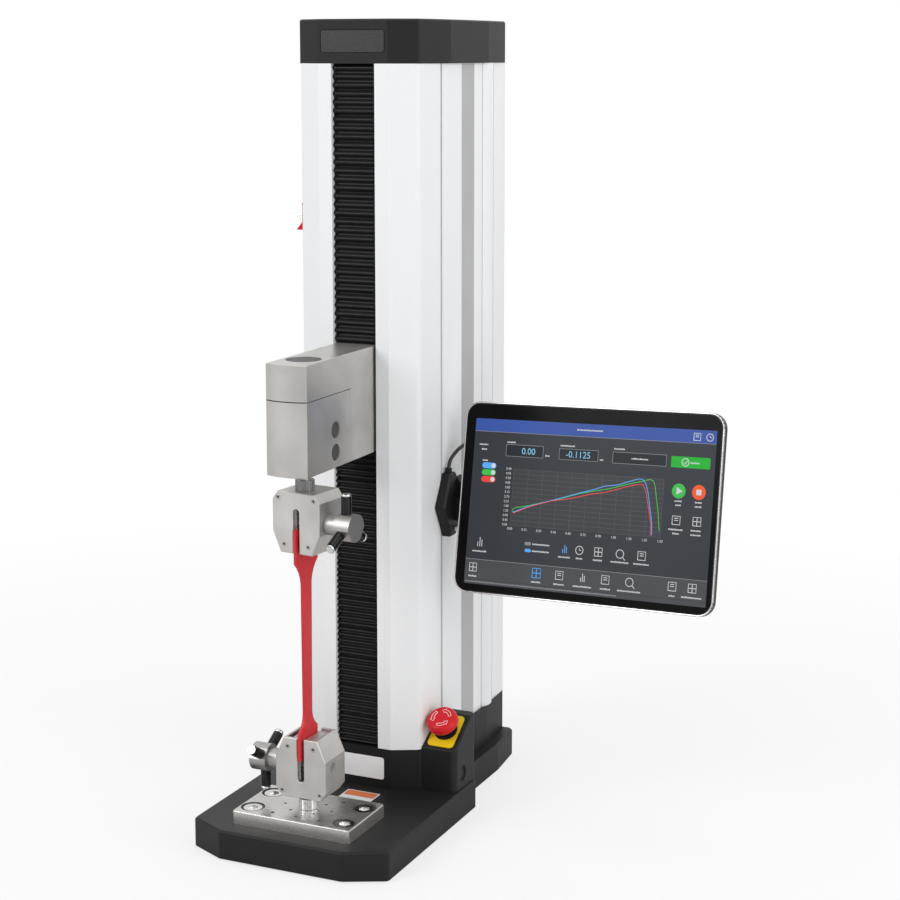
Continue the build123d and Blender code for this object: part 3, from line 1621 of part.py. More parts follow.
def tablet_arm():
    """Swinging arm behind the tablet, its knuckle and the two hinge pins."""
    pivot = swivel_centre()
    hinge = hinge_plane()
    half = arm_bar_height / 2
    bend = hinge.from_local_coords((-bar_setback, bar_setback, 0))
    end = hinge.from_local_coords((knuckle_length / 4, bar_setback, 0))
    with BuildPart() as arm:
        with BuildSketch(Plane.XY.offset(pivot.Z - half)):
            with Locations((pivot.X, pivot.Y)):
                Circle(swivel_radius)
            for start, stop in ((pivot, bend), (bend, end)):
                run = stop - start
                with Locations(Location(((start.X + stop.X) / 2, (start.Y + stop.Y) / 2))):
                    SlotCenterToCenter(run.length, arm_bar_width, rotation=degrees(atan2(run.Y, run.X)))
            with Locations((pivot.X, pivot.Y)):
                Circle(swivel_pin_radius + running_gap, mode=Mode.SUBTRACT)
        extrude(amount=arm_bar_height)
    finish(arm, "bracket_arm")
    seat = bar_setback - arm_bar_width / 2
    across = Plane(origin=hinge.origin, x_dir=hinge.y_dir, z_dir=hinge.x_dir)
    with BuildPart() as knuckle:
        with BuildSketch(across):
            Circle(half)
            with Locations((seat / 2, 0)):
                Rectangle(seat, arm_bar_height)
            Circle(hinge_pin_radius + running_gap, mode=Mode.SUBTRACT)
        extrude(amount=knuckle_length / 2, both=True)
    finish(knuckle, "tablet_knuckle")
    with BuildPart() as pins:
        with BuildSketch(across):
            Circle(hinge_pin_radius)
        extrude(amount=knuckle_length / 2 + slide_gap + ear_thickness, both=True)
        with BuildSketch(Plane.XY.offset(pivot.Z)):
            with Locations((pivot.X, pivot.Y)):
                Circle(swivel_pin_radius)
        extrude(amount=bracket_stub_half, both=True)
    finish(pins, "hinge_pins")


def tablet_cradle():
    """Square plate on the tablet's back with two ears for the tilt hinge."""
    level = tablet_plane()
    back = -tablet_thickness - cradle_thickness
    hinge = level.from_local_coords((0, -knuckle_offset, -knuckle_setback))
    reach = knuckle_setback + back
    with BuildPart() as cradle:
        with BuildSketch(level.offset(back)):
            RectangleRounded(cradle_size, cradle_size, cradle_corner)
        extrude(amount=cradle_thickness)
        for side in (-1, 1):
            start = side * (knuckle_length / 2 + slide_gap)
            across = Plane(origin=hinge, x_dir=level.z_dir, z_dir=level.x_dir)
            with BuildSketch(across.offset(start)):
                Circle(ear_radius)
                with Locations((reach / 2, 0)):
                    Rectangle(reach, 2 * ear_radius)
                Circle(hinge_pin_radius + running_gap, mode=Mode.SUBTRACT)
            extrude(amount=side * ear_thickness)
    finish(cradle, "tablet_cradle")


def tablet():
    """Tablet: rounded metal housing and the dark glass let into its front."""
    face = tablet_plane(tablet_roll_angle)
    with BuildPart() as housing:
        with BuildSketch(face):
            RectangleRounded(tablet_width, tablet_height, tablet_corner)
        extrude(amount=-tablet_thickness)
        rims = housing.faces().filter_by(Axis(face.origin, face.z_dir))
        chamfer(rims.sort_by(Axis(face.origin, face.z_dir))[0].edges(), tablet_edge)
        with BuildSketch(face):
            RectangleRounded(
                tablet_width - 2 * glass_inset,
                tablet_height - 2 * glass_inset,
                tablet_corner - glass_inset,
            )
        extrude(amount=-glass_thickness, mode=Mode.SUBTRACT)
    finish(housing, "tablet_housing")
    with BuildPart() as glass:
        with BuildSketch(face):
            RectangleRounded(
                tablet_width - 2 * glass_inset,
                tablet_height - 2 * glass_inset,
                tablet_corner - glass_inset,
            )
        extrude(amount=-glass_thickness)
    finish(glass, "tablet_glass")


base_casting()
rubber_pads()
column()
top_cap()
foot_housing()
power_module()
stop_pod()
pod_plug()
stop_button()
guide_rails()
column_spine()
screw_bearings()
drive_frame()
lead_screw()
pulleys()
timing_belt()
drive_motor()
control_board()
work_plate()
work_plate_bolts()
lower_stud()
lock_nut(plate_top + lock_nut_gap, "lower_lock_nut")
lock_nut(grip_upper_top + lock_nut_gap, "upper_lock_nut")
vice_grip("lower", load_plane(grip_lower_top, -1))
vice_grip("upper", load_plane(grip_upper_top, 1, upper_grip_turn))
specimen()
crosshead_arm()
load_cell()
arm_plugs()
carriage()
bellows(column_bottom, arm_bottom - bellows_end_gap, lower_pleat_count, "bellows_lower")
bellows(arm_top + bellows_end_gap, column_top, upper_pleat_count, "bellows_upper")
limit_stop()
bracket_base()
tablet_lead()
tablet_arm()
tablet_cradle()
tablet()
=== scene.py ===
# %% [markdown]
# # A universal testing machine, dressed for its picture
# The machine pulls a strip of material apart and measures the force. A white column
# carries a steel crosshead, two self-centring grips hold the strip, and a tablet on an
# arm shows the curve. The solids of the machine come from its CAD model, already in
# metres and in place. This lesson gives them their finishes, and adds what a solid
# modeller leaves out: pleats, printed films, small screws, the picture on the screen.

# %% Load the solids
import math

import bpy
import numpy as np
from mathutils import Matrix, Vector


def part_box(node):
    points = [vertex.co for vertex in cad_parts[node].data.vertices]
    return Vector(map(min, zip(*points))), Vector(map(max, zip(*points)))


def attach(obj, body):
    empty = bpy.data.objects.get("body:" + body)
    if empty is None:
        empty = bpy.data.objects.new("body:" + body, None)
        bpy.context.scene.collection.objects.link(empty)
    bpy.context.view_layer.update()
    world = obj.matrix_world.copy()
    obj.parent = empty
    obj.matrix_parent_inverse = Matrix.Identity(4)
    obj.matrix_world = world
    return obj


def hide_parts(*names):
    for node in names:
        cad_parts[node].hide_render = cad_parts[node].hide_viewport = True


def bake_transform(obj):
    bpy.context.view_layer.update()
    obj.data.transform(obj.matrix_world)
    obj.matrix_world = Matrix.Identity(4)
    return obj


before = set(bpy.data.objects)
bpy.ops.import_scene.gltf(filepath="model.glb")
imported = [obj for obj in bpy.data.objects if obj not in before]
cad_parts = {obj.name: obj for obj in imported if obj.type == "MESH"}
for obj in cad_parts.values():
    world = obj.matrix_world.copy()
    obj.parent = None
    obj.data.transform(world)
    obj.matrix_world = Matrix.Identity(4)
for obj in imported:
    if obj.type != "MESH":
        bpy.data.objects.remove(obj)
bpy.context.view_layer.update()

# %% [markdown]
# ## The camera
# A picture of a tall object is usually taken from a few metres away with a long lens,
# so that upright edges stay upright. The camera stands to the right and a little above,
# looks down a few degrees, and its frame is shifted too, as on a view camera.

# %% Set the camera
camera_place = Vector((0.88036, -1.74620, 0.76677))
camera_yaw = math.radians(-24.36)
camera_dip = math.radians(8.57)
camera_data = bpy.data.cameras.new("picture_camera")
camera_data.lens = 79.2
camera_data.sensor_width = 36.0
camera_data.shift_y = -0.111
camera = bpy.data.objects.new("picture_camera", camera_data)
camera.location = camera_place
camera.rotation_euler = (math.pi / 2 - camera_dip, 0, -camera_yaw)
bpy.context.scene.collection.objects.link(camera)
bpy.context.scene.camera = camera
print("camera", tuple(camera.location), "lens", camera_data.lens)

# %% [markdown]
# ## Helpers for node materials
# Every finish starts from the Principled shader. Its plain numbers sit on the shader's
# own sockets. What varies over the surface, such as grain or brushing, comes from a
# noise read in Object coordinates, so it stays on the part and keeps its real size.


# %% Make a material and its nodes
def new_finish(name, colour, roughness, metallic=0.0, **sockets):
    """A Principled material with these constants on its own sockets."""
    material = bpy.data.materials.new(name)
    material.use_nodes = True
    shader = material.node_tree.nodes["Principled BSDF"]
    shader.inputs["Base Color"].default_value = (*colour, 1.0)
    shader.inputs["Roughness"].default_value = roughness
    shader.inputs["Metallic"].default_value = metallic
    for socket, value in sockets.items():
        shader.inputs[socket.replace("_", " ")].default_value = value
    return material


def shader_of(material):
    """The material's Principled shader."""
    return material.node_tree.nodes["Principled BSDF"]


def noise_in(material, scale, stretch=(1.0, 1.0, 1.0), detail=3.0):
    """Noise in Object coordinates: scale is waves per metre, stretch slows it along an axis."""
    nodes, links = material.node_tree.nodes, material.node_tree.links
    place = nodes.new("ShaderNodeTexCoord")
    mapping = nodes.new("ShaderNodeMapping")
    mapping.inputs["Scale"].default_value = stretch
    noise = nodes.new("ShaderNodeTexNoise")
    noise.inputs["Scale"].default_value = scale
    noise.inputs["Detail"].default_value = detail
    links.new(place.outputs["Object"], mapping.inputs["Vector"])
    links.new(mapping.outputs["Vector"], noise.inputs["Vector"])
    return noise.outputs["Fac"]


def spread(material, factor, low, high, start=0.3, end=0.7):
    """The factor between start and end, laid out from low to high."""
    nodes, links = material.node_tree.nodes, material.node_tree.links
    ramp = nodes.new("ShaderNodeMapRange")
    for socket, value in zip(("From Min", "From Max", "To Min", "To Max"), (start, end, low, high)):
        ramp.inputs[socket].default_value = value
    links.new(factor, ramp.inputs["Value"])
    return ramp.outputs["Result"]


def two_tones(material, factor, dark, light, start=0.3, end=0.7):
    """Base colour that goes from dark to light as the factor goes from start to end."""
    nodes, links = material.node_tree.nodes, material.node_tree.links
    ramp = nodes.new("ShaderNodeValToRGB")
    first, last = ramp.color_ramp.elements
    first.position, last.position = start, end
    first.color, last.color = (*dark, 1.0), (*light, 1.0)
    links.new(factor, ramp.inputs["Fac"])
    links.new(ramp.outputs["Color"], shader_of(material).inputs["Base Color"])


def emboss(material, height, depth):
    """Bump of this depth in metres from the height signal."""
    nodes, links = material.node_tree.nodes, material.node_tree.links
    bump = nodes.new("ShaderNodeBump")
    bump.inputs["Distance"].default_value = depth
    links.new(height, bump.inputs["Height"])
    links.new(bump.outputs["Normal"], shader_of(material).inputs["Normal"])


def vary_roughness(material, factor, low, high):
    """Roughness that follows the factor from low to high."""
    result = spread(material, factor, low, high)
    material.node_tree.links.new(result, shader_of(material).inputs["Roughness"])


# %% [markdown]
# ## Paint
# The castings have a black powder coat: fine bumps under a millimetre across, a little
# dust-grey where they catch the light. The column is coated white and nearly smooth.


# %% Mix the paints
def powder_coat(name, dark, light, low, high, grain, depth, **sockets):
    """Paint with an orange-peel grain: colour, gloss and height share one fine noise."""
    material = new_finish(name, light, high, **sockets)
    fine = noise_in(material, grain, detail=2.0)
    broad = noise_in(material, 9.0)
    two_tones(material, fine, dark, light)
    vary_roughness(material, broad, low, high)
    emboss(material, fine, depth)
    return material


black_coat = powder_coat(
    "black_powder_coat", (0.008,) * 3, (0.016,) * 3, 0.42, 0.5, 1400.0, 0.00012,
    Specular_IOR_Level=0.2
)
white_coat = powder_coat(
    "white_powder_coat", (0.80, 0.81, 0.82), (0.84, 0.85, 0.86), 0.34, 0.42, 1100.0, 0.00002
)
print("paints", black_coat.name, white_coat.name)

# %% [markdown]
# ## Metals
# Stainless grips and crosshead are brushed: long fine scratches that all run one way.
# A noise that is stretched along the brushing gives them, and the bump is only a few
# micrometres deep. Turned rods and screws are bright, blackened steel is dark.


# %% Mix the metals
def brushed(name, dark, light, low, high, along, depth=0.000006, metallic=1.0):
    """Metal with scratches: noise squeezed to a thirtieth along the brushing."""
    material = new_finish(name, light, high, metallic=metallic)
    stretch = tuple(0.03 if axis == along else 1.0 for axis in "xyz")
    scratches = noise_in(material, 2600.0, stretch, detail=4.0)
    stains = noise_in(material, 26.0, detail=4.0)
    two_tones(material, stains, dark, light)
    vary_roughness(material, scratches, low, high)
    emboss(material, scratches, depth)
    return material


grip_steel = brushed(
    "grip_brushed_steel", (0.45, 0.435, 0.42), (0.56, 0.545, 0.53), 0.44, 0.56, "z", 0.000002, 0.94
)
arm_steel = brushed(
    "arm_brushed_steel", (0.47, 0.455, 0.435), (0.57, 0.555, 0.535), 0.28, 0.36, "z",
    0.0000015, 0.72
)
plate_steel = brushed(
    "ground_plate_steel", (0.50, 0.485, 0.47), (0.60, 0.585, 0.57), 0.2, 0.36, "x", metallic=0.85
)
bright_steel = brushed(
    "turned_bright_steel", (0.58, 0.58, 0.58), (0.68, 0.68, 0.68), 0.12, 0.24, "x", 0.000002
)
dark_steel = brushed("blackened_steel", (0.018,) * 3, (0.035,) * 3, 0.22, 0.36, "z", 0.000003)
# Painted shade: a darker copy of the steel for the upper lock nut, which sits in shade; the lower
# nut is bright steel.
shadow_steel = brushed(
    "painted_shade_steel", (0.20, 0.20, 0.20), (0.27, 0.27, 0.27), 0.28, 0.4, "z", 0.000003
)
alloy = brushed("satin_alloy", (0.52, 0.52, 0.53), (0.60, 0.60, 0.61), 0.3, 0.42, "x", 0.000003)
print("metals", [m.name for m in (grip_steel, arm_steel, plate_steel, bright_steel, dark_steel)])

# %% [markdown]
# ## Plastics, rubber, coated fabric and glass
# Moulded plastic keeps the fine matt grain of its mould. The strip under test is red
# rubber, dull and even. The pleated cover is coated fabric, with a painted highlight
# along its fold ridges.


# %% Mix the soft and moulded finishes
def moulded(name, dark, light, low, high, grain=900.0, depth=0.00003, **sockets):
    """Plastic or rubber: two near tones, and a fine grain in gloss and height."""
    material = new_finish(name, light, high, **sockets)
    fine = noise_in(material, grain, detail=2.0)
    cloud = noise_in(material, 14.0)
    two_tones(material, cloud, dark, light)
    vary_roughness(material, fine, low, high)
    emboss(material, fine, depth)
    return material


black_plastic = moulded(
    "black_moulding", (0.010,) * 3, (0.016,) * 3, 0.38, 0.5, Specular_IOR_Level=0.3
)
grey_plastic = moulded(
    "grey_plug_moulding", (0.05,) * 3, (0.07,) * 3, 0.42, 0.55, Specular_IOR_Level=0.3
)
red_plastic = moulded(
    "red_stop_moulding", (0.58, 0.006, 0.014), (0.64, 0.009, 0.02), 0.3, 0.42, depth=0.00001,
    Specular_IOR_Level=0.25
)
yellow_plastic = moulded(
    "yellow_legend_film", (0.90, 0.60, 0.012), (0.96, 0.66, 0.02), 0.38, 0.48, depth=0.00001,
    Specular_IOR_Level=0.2
)
red_rubber = moulded(
    "red_strip_rubber", (0.50, 0.008, 0.014), (0.58, 0.012, 0.02), 0.42, 0.52, 500.0, 0.00001
)
black_rubber = moulded("black_pad_rubber", (0.012,) * 3, (0.02,) * 3, 0.6, 0.75)
lead_rubber = moulded("black_lead_jacket", (0.010,) * 3, (0.016,) * 3, 0.38, 0.48)
nut_steel = brushed(
    "nut_satin_steel", (0.35, 0.34, 0.33), (0.42, 0.41, 0.40), 0.36, 0.5, "x", 0.000002
)
board_green = moulded("green_board", (0.01, 0.10, 0.04), (0.015, 0.14, 0.05), 0.4, 0.5, 1500.0)
screen_glass = moulded(
    "black_screen_glass", (0.004,) * 3, (0.006,) * 3, 0.16, 0.2, 60.0, 0.0, Specular_IOR_Level=0.05
)
tablet_back = moulded(
    "tablet_back_moulding", (0.014,) * 3, (0.02,) * 3, 0.34, 0.42, Specular_IOR_Level=0.3
)
print("mouldings mixed")

# %% Give each solid its finish
finish_of = {
    "base_casting": black_coat, "rubber_pads": black_rubber, "column": white_coat,
    "top_cap": black_coat, "foot_housing": black_coat, "power_inlet": black_plastic,
    "power_switch": black_plastic, "stop_pod": black_coat, "pod_plug": black_plastic,
    "stop_legend_plate": yellow_plastic, "stop_switch_body": black_plastic,
    "stop_stem": black_plastic, "stop_head": red_plastic, "guide_rails": bright_steel,
    "column_spine": alloy, "screw_bearings": bright_steel, "drive_frame": alloy,
    "lead_screw": bright_steel, "screw_pulley": alloy, "motor_pulley": alloy,
    "timing_belt": black_rubber, "drive_motor": black_coat, "control_board": board_green,
    "work_plate": plate_steel, "work_plate_bolts": bright_steel, "lower_stud": bright_steel,
    "lower_lock_nut": bright_steel, "upper_lock_nut": shadow_steel, "load_cell": arm_steel,
    "crosshead_arm": arm_steel, "arm_plugs": grey_plastic, "carriage": alloy,
    "carriage_blocks": bright_steel, "screw_nut": alloy, "limit_stop": red_plastic,
    "limit_stop_screw": bright_steel, "bracket_base": black_coat,
    "bracket_thumbscrew": bright_steel, "bracket_arm": black_plastic,
    "tablet_knuckle": black_plastic, "hinge_pins": bright_steel, "tablet_cradle": black_plastic,
    "tablet_housing": tablet_back, "tablet_glass": screen_glass,
}
grip_finish = (
    ("rods", dark_steel), ("jaw", grip_steel), ("spindle", nut_steel), ("grip", grip_steel)
)
grip_words = tuple(word for word, finish in grip_finish)
redrawn = [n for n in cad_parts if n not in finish_of and not any(w in n for w in grip_words)]
print("drawn anew further on:", sorted(redrawn))
for node_name, node_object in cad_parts.items():
    matches = [finish for word, finish in grip_finish if word in node_name]
    chosen = finish_of.get(node_name) or (matches[0] if matches else black_plastic)
    for material_slot in node_object.material_slots:
        material_slot.material = chosen
print("finished", len(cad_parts), "solids")

# %% [markdown]
# ## Floor and light
# A pale studio: an endless white sheet, a soft box on the left, a broader one on the
# right and one above. What the camera sees of the sky and what metal mirrors is plain
# white, while the light that the sky gives is less, so that nothing pale burns out.


# %% Lay the floor
def ray_mix(material, near, far, share):
    """The camera sees this share of plain white up to near, and white alone beyond far.
    All other rays meet the paint."""
    nodes, links = material.node_tree.nodes, material.node_tree.links
    white = nodes.new("ShaderNodeEmission")
    white.inputs["Strength"].default_value = 1.0
    rays = nodes.new("ShaderNodeLightPath")
    place = nodes.new("ShaderNodeTexCoord")
    distance = nodes.new("ShaderNodeVectorMath")
    distance.operation = "LENGTH"
    links.new(place.outputs["Object"], distance.inputs[0])
    fade = spread(material, distance.outputs["Value"], share, 1.0, near, far)
    amount = nodes.new("ShaderNodeMath")
    amount.operation = "MULTIPLY"
    links.new(fade, amount.inputs[1])
    mix = nodes.new("ShaderNodeMixShader")
    links.new(rays.outputs["Is Camera Ray"], amount.inputs[0])
    links.new(amount.outputs[0], mix.inputs["Fac"])
    links.new(shader_of(material).outputs[0], mix.inputs[1])
    links.new(white.outputs[0], mix.inputs[2])
    links.new(mix.outputs[0], nodes["Material Output"].inputs["Surface"])


floor_half = 8.0
floor_paint = new_finish("floor_paint", (0.86, 0.86, 0.86), 0.9)
fade_near, fade_far, near_white = 0.3, 1.3, 0.72
ray_mix(floor_paint, fade_near, fade_far, near_white)
floor_mesh = bpy.data.meshes.new("studio_floor")
corners = [(-floor_half, -floor_half, 0), (floor_half, -floor_half, 0), (floor_half, floor_half, 0)]
floor_mesh.from_pydata(corners + [(-floor_half, floor_half, 0)], [], [(0, 1, 2, 3)])
floor_mesh.materials.append(floor_paint)
studio_floor = bpy.data.objects.new("studio_floor", floor_mesh)
bpy.context.scene.collection.objects.link(studio_floor)
print("floor", 2 * floor_half, "m wide")


# %% Hang the lights
def soft_box(name, place, target, size, power):
    """Rectangular area light that faces the target."""
    light_data = bpy.data.lights.new(name, "AREA")
    light_data.shape = "RECTANGLE"
    light_data.size, light_data.size_y = size
    light_data.energy = power
    light = bpy.data.objects.new(name, light_data)
    light.location = place
    light.rotation_euler = (Vector(target) - Vector(place)).to_track_quat("-Z", "Y").to_euler()
    bpy.context.scene.collection.objects.link(light)


middle = (0.0, 0.0, 0.4)
soft_box("key_box", (-1.5, -2.2, 1.9), middle, (1.2, 1.8), 40)
soft_box("fill_box", (2.6, -0.6, 1.2), middle, (2.4, 2.4), 37)
soft_box("top_box", (0.0, 0.4, 2.8), middle, (1.8, 1.8), 18)

world = bpy.data.worlds.new("pale_studio")
world.use_nodes = True
bpy.context.scene.world = world
sky_nodes, sky_links = world.node_tree.nodes, world.node_tree.links
sky = sky_nodes["Background"]
sky.inputs["Color"].default_value = (1, 1, 1, 1)
sky_rays = sky_nodes.new("ShaderNodeLightPath")
seen = sky_nodes.new("ShaderNodeMath")
seen.operation = "MAXIMUM"
sky_links.new(sky_rays.outputs["Is Camera Ray"], seen.inputs[0])
sky_links.new(sky_rays.outputs["Is Transmission Ray"], seen.inputs[1])
mirrored = sky_nodes.new("ShaderNodeMath")
mirrored.operation = "MAXIMUM"
sky_links.new(seen.outputs[0], mirrored.inputs[0])
sky_links.new(sky_rays.outputs["Is Glossy Ray"], mirrored.inputs[1])
sky_level = sky_nodes.new("ShaderNodeMapRange")
sky_light, sky_seen = 0.45, 1.0
sky_level.inputs["To Min"].default_value = sky_light
sky_level.inputs["To Max"].default_value = sky_seen
sky_links.new(mirrored.outputs[0], sky_level.inputs["Value"])
sky_links.new(sky_level.outputs["Result"], sky.inputs["Strength"])
bpy.context.scene.view_settings.view_transform = "Standard"
print("three soft boxes and a white sky")

# %% [markdown]
# ## Surfaces from numbers
# The new pieces are surfaces worked out with numpy. Points lie in rows, and a grid of
# quads joins each row to the next. A closed piece has rows that run round, and its two
# ends are shut with one face each.


# %% Put a surface into a mesh
def grid_faces(rows, columns):
    """Quads between neighbours of points that are numbered row by row. Each row runs round."""
    row = np.arange(rows - 1)[:, None]
    column = np.arange(columns)[None, :]
    beside = (column + 1) % columns
    corners_of = (row * columns + column, row * columns + beside,
                  (row + 1) * columns + beside, (row + 1) * columns + column)
    return np.stack(corners_of, -1).reshape(-1, 4)


def closed_shape(rings):
    """Points and faces of rings (ring, point, xyz) joined in order, with both ends shut."""
    count, around = rings.shape[:2]
    faces = grid_faces(count, around).tolist()
    first = list(range(around))[::-1]
    last = list(range((count - 1) * around, count * around))
    return rings.reshape(-1, 3), faces + [first, last]


def make_piece(name, shapes, material, smooth=True):
    """One object from several (points, faces) shapes. Only its quads are smooth: ends stay flat."""
    points, faces, base = [], [], 0
    for shape_points, shape_faces in shapes:
        points.append(shape_points)
        faces += [[index + base for index in face] for face in shape_faces]
        base += len(shape_points)
    mesh = bpy.data.meshes.new(name)
    mesh.from_pydata(np.concatenate(points).tolist(), [], faces)
    mesh.polygons.foreach_set("use_smooth", [smooth and len(face) == 4 for face in faces])
    mesh.materials.append(material)
    mesh.update()
    piece = bpy.data.objects.new(name, mesh)
    bpy.context.scene.collection.objects.link(piece)
    return piece


# %% [markdown]
# ## Sheets between the machine and the crosshead
# The pleated covers and the rubber strip have one end on the machine and the other on
# the crosshead. Each is made of several short lengths, each baked in place.


# %% Bake each length in place
def stretch_between(piece):
    """Bakes the piece's placement into its mesh and returns the piece."""
    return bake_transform(piece)


# %% [markdown]
# ## The pleated covers
# Coated fabric in small even pleats shuts the column's mouth above and below the
# crosshead and lets it run. The ridges of the folds carry a painted highlight, a shade
# paler, and each pleat is a little different from the next, as hand-set folds are.


# %% Fold the covers
mm = 0.001
cover_random = np.random.default_rng(5)
pleat_samples = 8
cover_columns = 14
cover_skin = 2.2 * mm
fold_share = 0.5
end_row = 0.03 * mm


def coated_fabric():
    """Near-black coated fabric with a weave, and a painted highlight along the fold ridges that the
    point attribute marks.
    """
    material = new_finish("pleated_coated_fabric", (0.006,) * 3, 0.5, Specular_IOR_Level=0.22)
    nodes, links = material.node_tree.nodes, material.node_tree.links
    fold = nodes.new("ShaderNodeAttribute")
    fold.attribute_name = "fold"
    # Painted highlight: a paler tone on the fold ridges, patchy along them.
    ridge_highlight = nodes.new("ShaderNodeMath")
    ridge_highlight.operation = "MULTIPLY"
    links.new(fold.outputs["Fac"], ridge_highlight.inputs[0])
    links.new(spread(material, noise_in(material, 220.0), 0.35, 1.0), ridge_highlight.inputs[1])
    two_tones(material, ridge_highlight.outputs[0], (0.005,) * 3, (0.03, 0.031, 0.032), 0.25, 1.0)
    weave = noise_in(material, 1800.0, (1.0, 1.0, 1.6), detail=1.0)
    vary_roughness(material, weave, 0.36, 0.5)
    emboss(material, weave, 0.00004)
    return material


fabric = coated_fabric()


def pleated_length(name, low, high, pleats, half, front, back):
    """Ring of points at each height: along the front from left to right and back behind.
    The depth is a triangle wave, arccos(cos(a)) / pi, with a tenth of rounding, plus noise.
    A row close to each end keeps the shading of the flat ends off the pleats."""
    height = np.linspace(low, high, pleats * pleat_samples + 1)
    angle = 2 * math.pi * np.linspace(0, pleats, len(height))
    wave = np.arccos(np.clip(np.cos(angle) * 0.985, -1, 1)) / math.pi
    uneven = cover_random.normal(0, 0.03, (pleats + 1, cover_columns))
    pleat = np.minimum(np.arange(len(height)) // pleat_samples, pleats)
    edge = np.minimum(np.arange(len(height)), np.arange(len(height))[::-1]) == 0
    folded = 1 - wave[:, None] + uneven[pleat] * wave[:, None]
    depth = fold_share * (back - front) * np.clip(folded, 0, 1)
    depth[edge] = fold_share * (back - front)
    rows = np.concatenate(([0], np.arange(len(height)), [len(height) - 1]))
    height, depth, wave = height[rows], depth[rows], wave[rows]
    height[[1, -2]] += (end_row, -end_row)
    across = np.linspace(-half, half, cover_columns)
    ahead = np.stack(np.broadcast_arrays(across, front + depth, height[:, None]), -1)
    behind = ahead[:, ::-1] + np.array([0, cover_skin, 0])
    piece = make_piece(name, [closed_shape(np.concatenate((ahead, behind), 1))], fabric)
    fold = piece.data.attributes.new("fold", "FLOAT", "POINT")
    # Painted highlight mask: the sixth power of the wave, highest on the fold ridges.
    ridge_highlight_values = np.repeat(wave ** 6, 2 * cover_columns)
    fold.data.foreach_set("value", ridge_highlight_values.astype(np.float32))
    return piece


def pleated_cover(node, pleats, parts):
    """The cover that stands for a node, folded length by length from its box."""
    (left, front, low), (right, back, high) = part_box(node)
    cuts = np.linspace(0, pleats, parts + 1).round().astype(int)
    heights = low + (high - low) * cuts / pleats
    for number in range(parts):
        name = f"{node}_length_{number + 1:02d}"
        count = int(cuts[number + 1] - cuts[number])
        start, end = heights[number], heights[number + 1]
        piece = pleated_length(
            name, start, end, count, (right - left) / 2, front, back - cover_skin
        )
        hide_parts(node)
        stretch_between(piece)
    print(node, pleats, "pleats in", parts, "lengths")


pleated_cover("bellows_lower", 50, 10)
pleated_cover("bellows_upper", 33, 11)

# %% [markdown]
# ## The strip under test
# A dumb-bell is stamped from a sheet of red rubber. Its wide ends sit in the jaws, and
# its neck stretches. The upper grip is turned by a few degrees, so the neck twists.


# %% Cut the strip
load_y = -134.2
load_axis = np.array((0.0, load_y, 0.0)) * mm
strip_half_thick = 1.6 * mm
strip_wide, strip_neck = 18.0 * mm, 7.2 * mm
lower_wide, lower_neck = 122.0 * mm, 140.0 * mm
upper_neck, upper_wide = 264.0 * mm, 288.0 * mm
upper_turn = math.radians(-7.0)
strip_round = 0.5 * mm
strip_rows = 14
strip_lengths = 9


def shoulder(height, neck, wide):
    """Half width in a shoulder: a circle that leaves the neck upright, neck + R - sqrt(RR - hh)."""
    rise = strip_wide - strip_neck
    radius = (rise ** 2 + (wide - neck) ** 2) / (2 * rise)
    along = np.clip((height - neck) * np.sign(wide - neck), 0, abs(wide - neck))
    return strip_neck + radius - np.sqrt(radius ** 2 - along ** 2)


def rounded_outline(left, right, low, high, radius, steps=5):
    """Rounded rectangle, anticlockwise: each corner's centre plus radius times (cos, sin)."""
    turn = np.linspace(0, math.pi / 2, steps)
    inner = (left + radius, right - radius, low + radius, high - radius)
    centres = np.array(
        [(inner[1], inner[3]), (inner[0], inner[3]), (inner[0], inner[2]), (inner[1], inner[2])]
    )
    angles = turn + np.arange(4)[:, None] * math.pi / 2
    return (centres[:, None] + radius * np.stack((np.cos(angles), np.sin(angles)), -1)).reshape(
        -1, 2
    )


def strip_length(name, start, end):
    """Rounded cross-sections stacked up the strip, each as wide and as turned as its height says.
    Points near each rounding, and a row close to each end, keep the shading of the roundings
    and of the flat ends off the faces beside them."""
    height = np.linspace(start + end_row, end - end_row, strip_rows)
    height = np.concatenate(([start], height, [end]))
    half = np.maximum(
        shoulder(height, lower_neck, lower_wide), shoulder(height, upper_neck, upper_wide)
    )
    turn = upper_turn * np.clip((height - lower_neck) / (upper_neck - lower_neck), 0, 1)
    section = rounded_outline(
        -strip_half_thick, strip_half_thick, -strip_neck, strip_neck, strip_round
    )
    flat_end = strip_neck - 3 * strip_round
    flats = [(-strip_half_thick, flat_end), (-strip_half_thick, -flat_end),
             (strip_half_thick, -flat_end), (strip_half_thick, flat_end)]
    half_way = len(section) // 2
    section = np.insert(section, [half_way, half_way, 2 * half_way, 2 * half_way], flats, axis=0)
    across, along = section[None, :, 0], section[None, :, 1] * (half / strip_neck)[:, None]
    cos, sin = np.cos(turn)[:, None], np.sin(turn)[:, None]
    upright = np.broadcast_to(height[:, None], along.shape)
    ring = np.stack((across * cos - along * sin, across * sin + along * cos, upright), -1)
    piece = make_piece(name, [closed_shape(ring + load_axis)], red_rubber)
    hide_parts("specimen")
    return piece


strip_low, strip_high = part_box("specimen")[0][2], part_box("specimen")[1][2]
held_low, held_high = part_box("lower_grip_plates")[1][2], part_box("upper_grip_plates")[0][2]
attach(strip_length("specimen_end_lower", strip_low, held_low), "machine")
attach(strip_length("specimen_end_upper", held_high, strip_high), "crosshead")
strip_cuts = np.linspace(held_low, held_high, strip_lengths + 1)
for number in range(strip_lengths):
    start, end = strip_cuts[number], strip_cuts[number + 1]
    piece = strip_length(f"specimen_length_{number + 1:02d}", start, end)
    stretch_between(piece)
print("strip from", round(strip_low, 4), "to", round(strip_high, 4))

# %% [markdown]
# ## Films, plates and screws
# Printed films and small screws are too thin for the CAD model. Each is a slab: a flat
# outline, and the same outline a little further out, joined all round and shut.


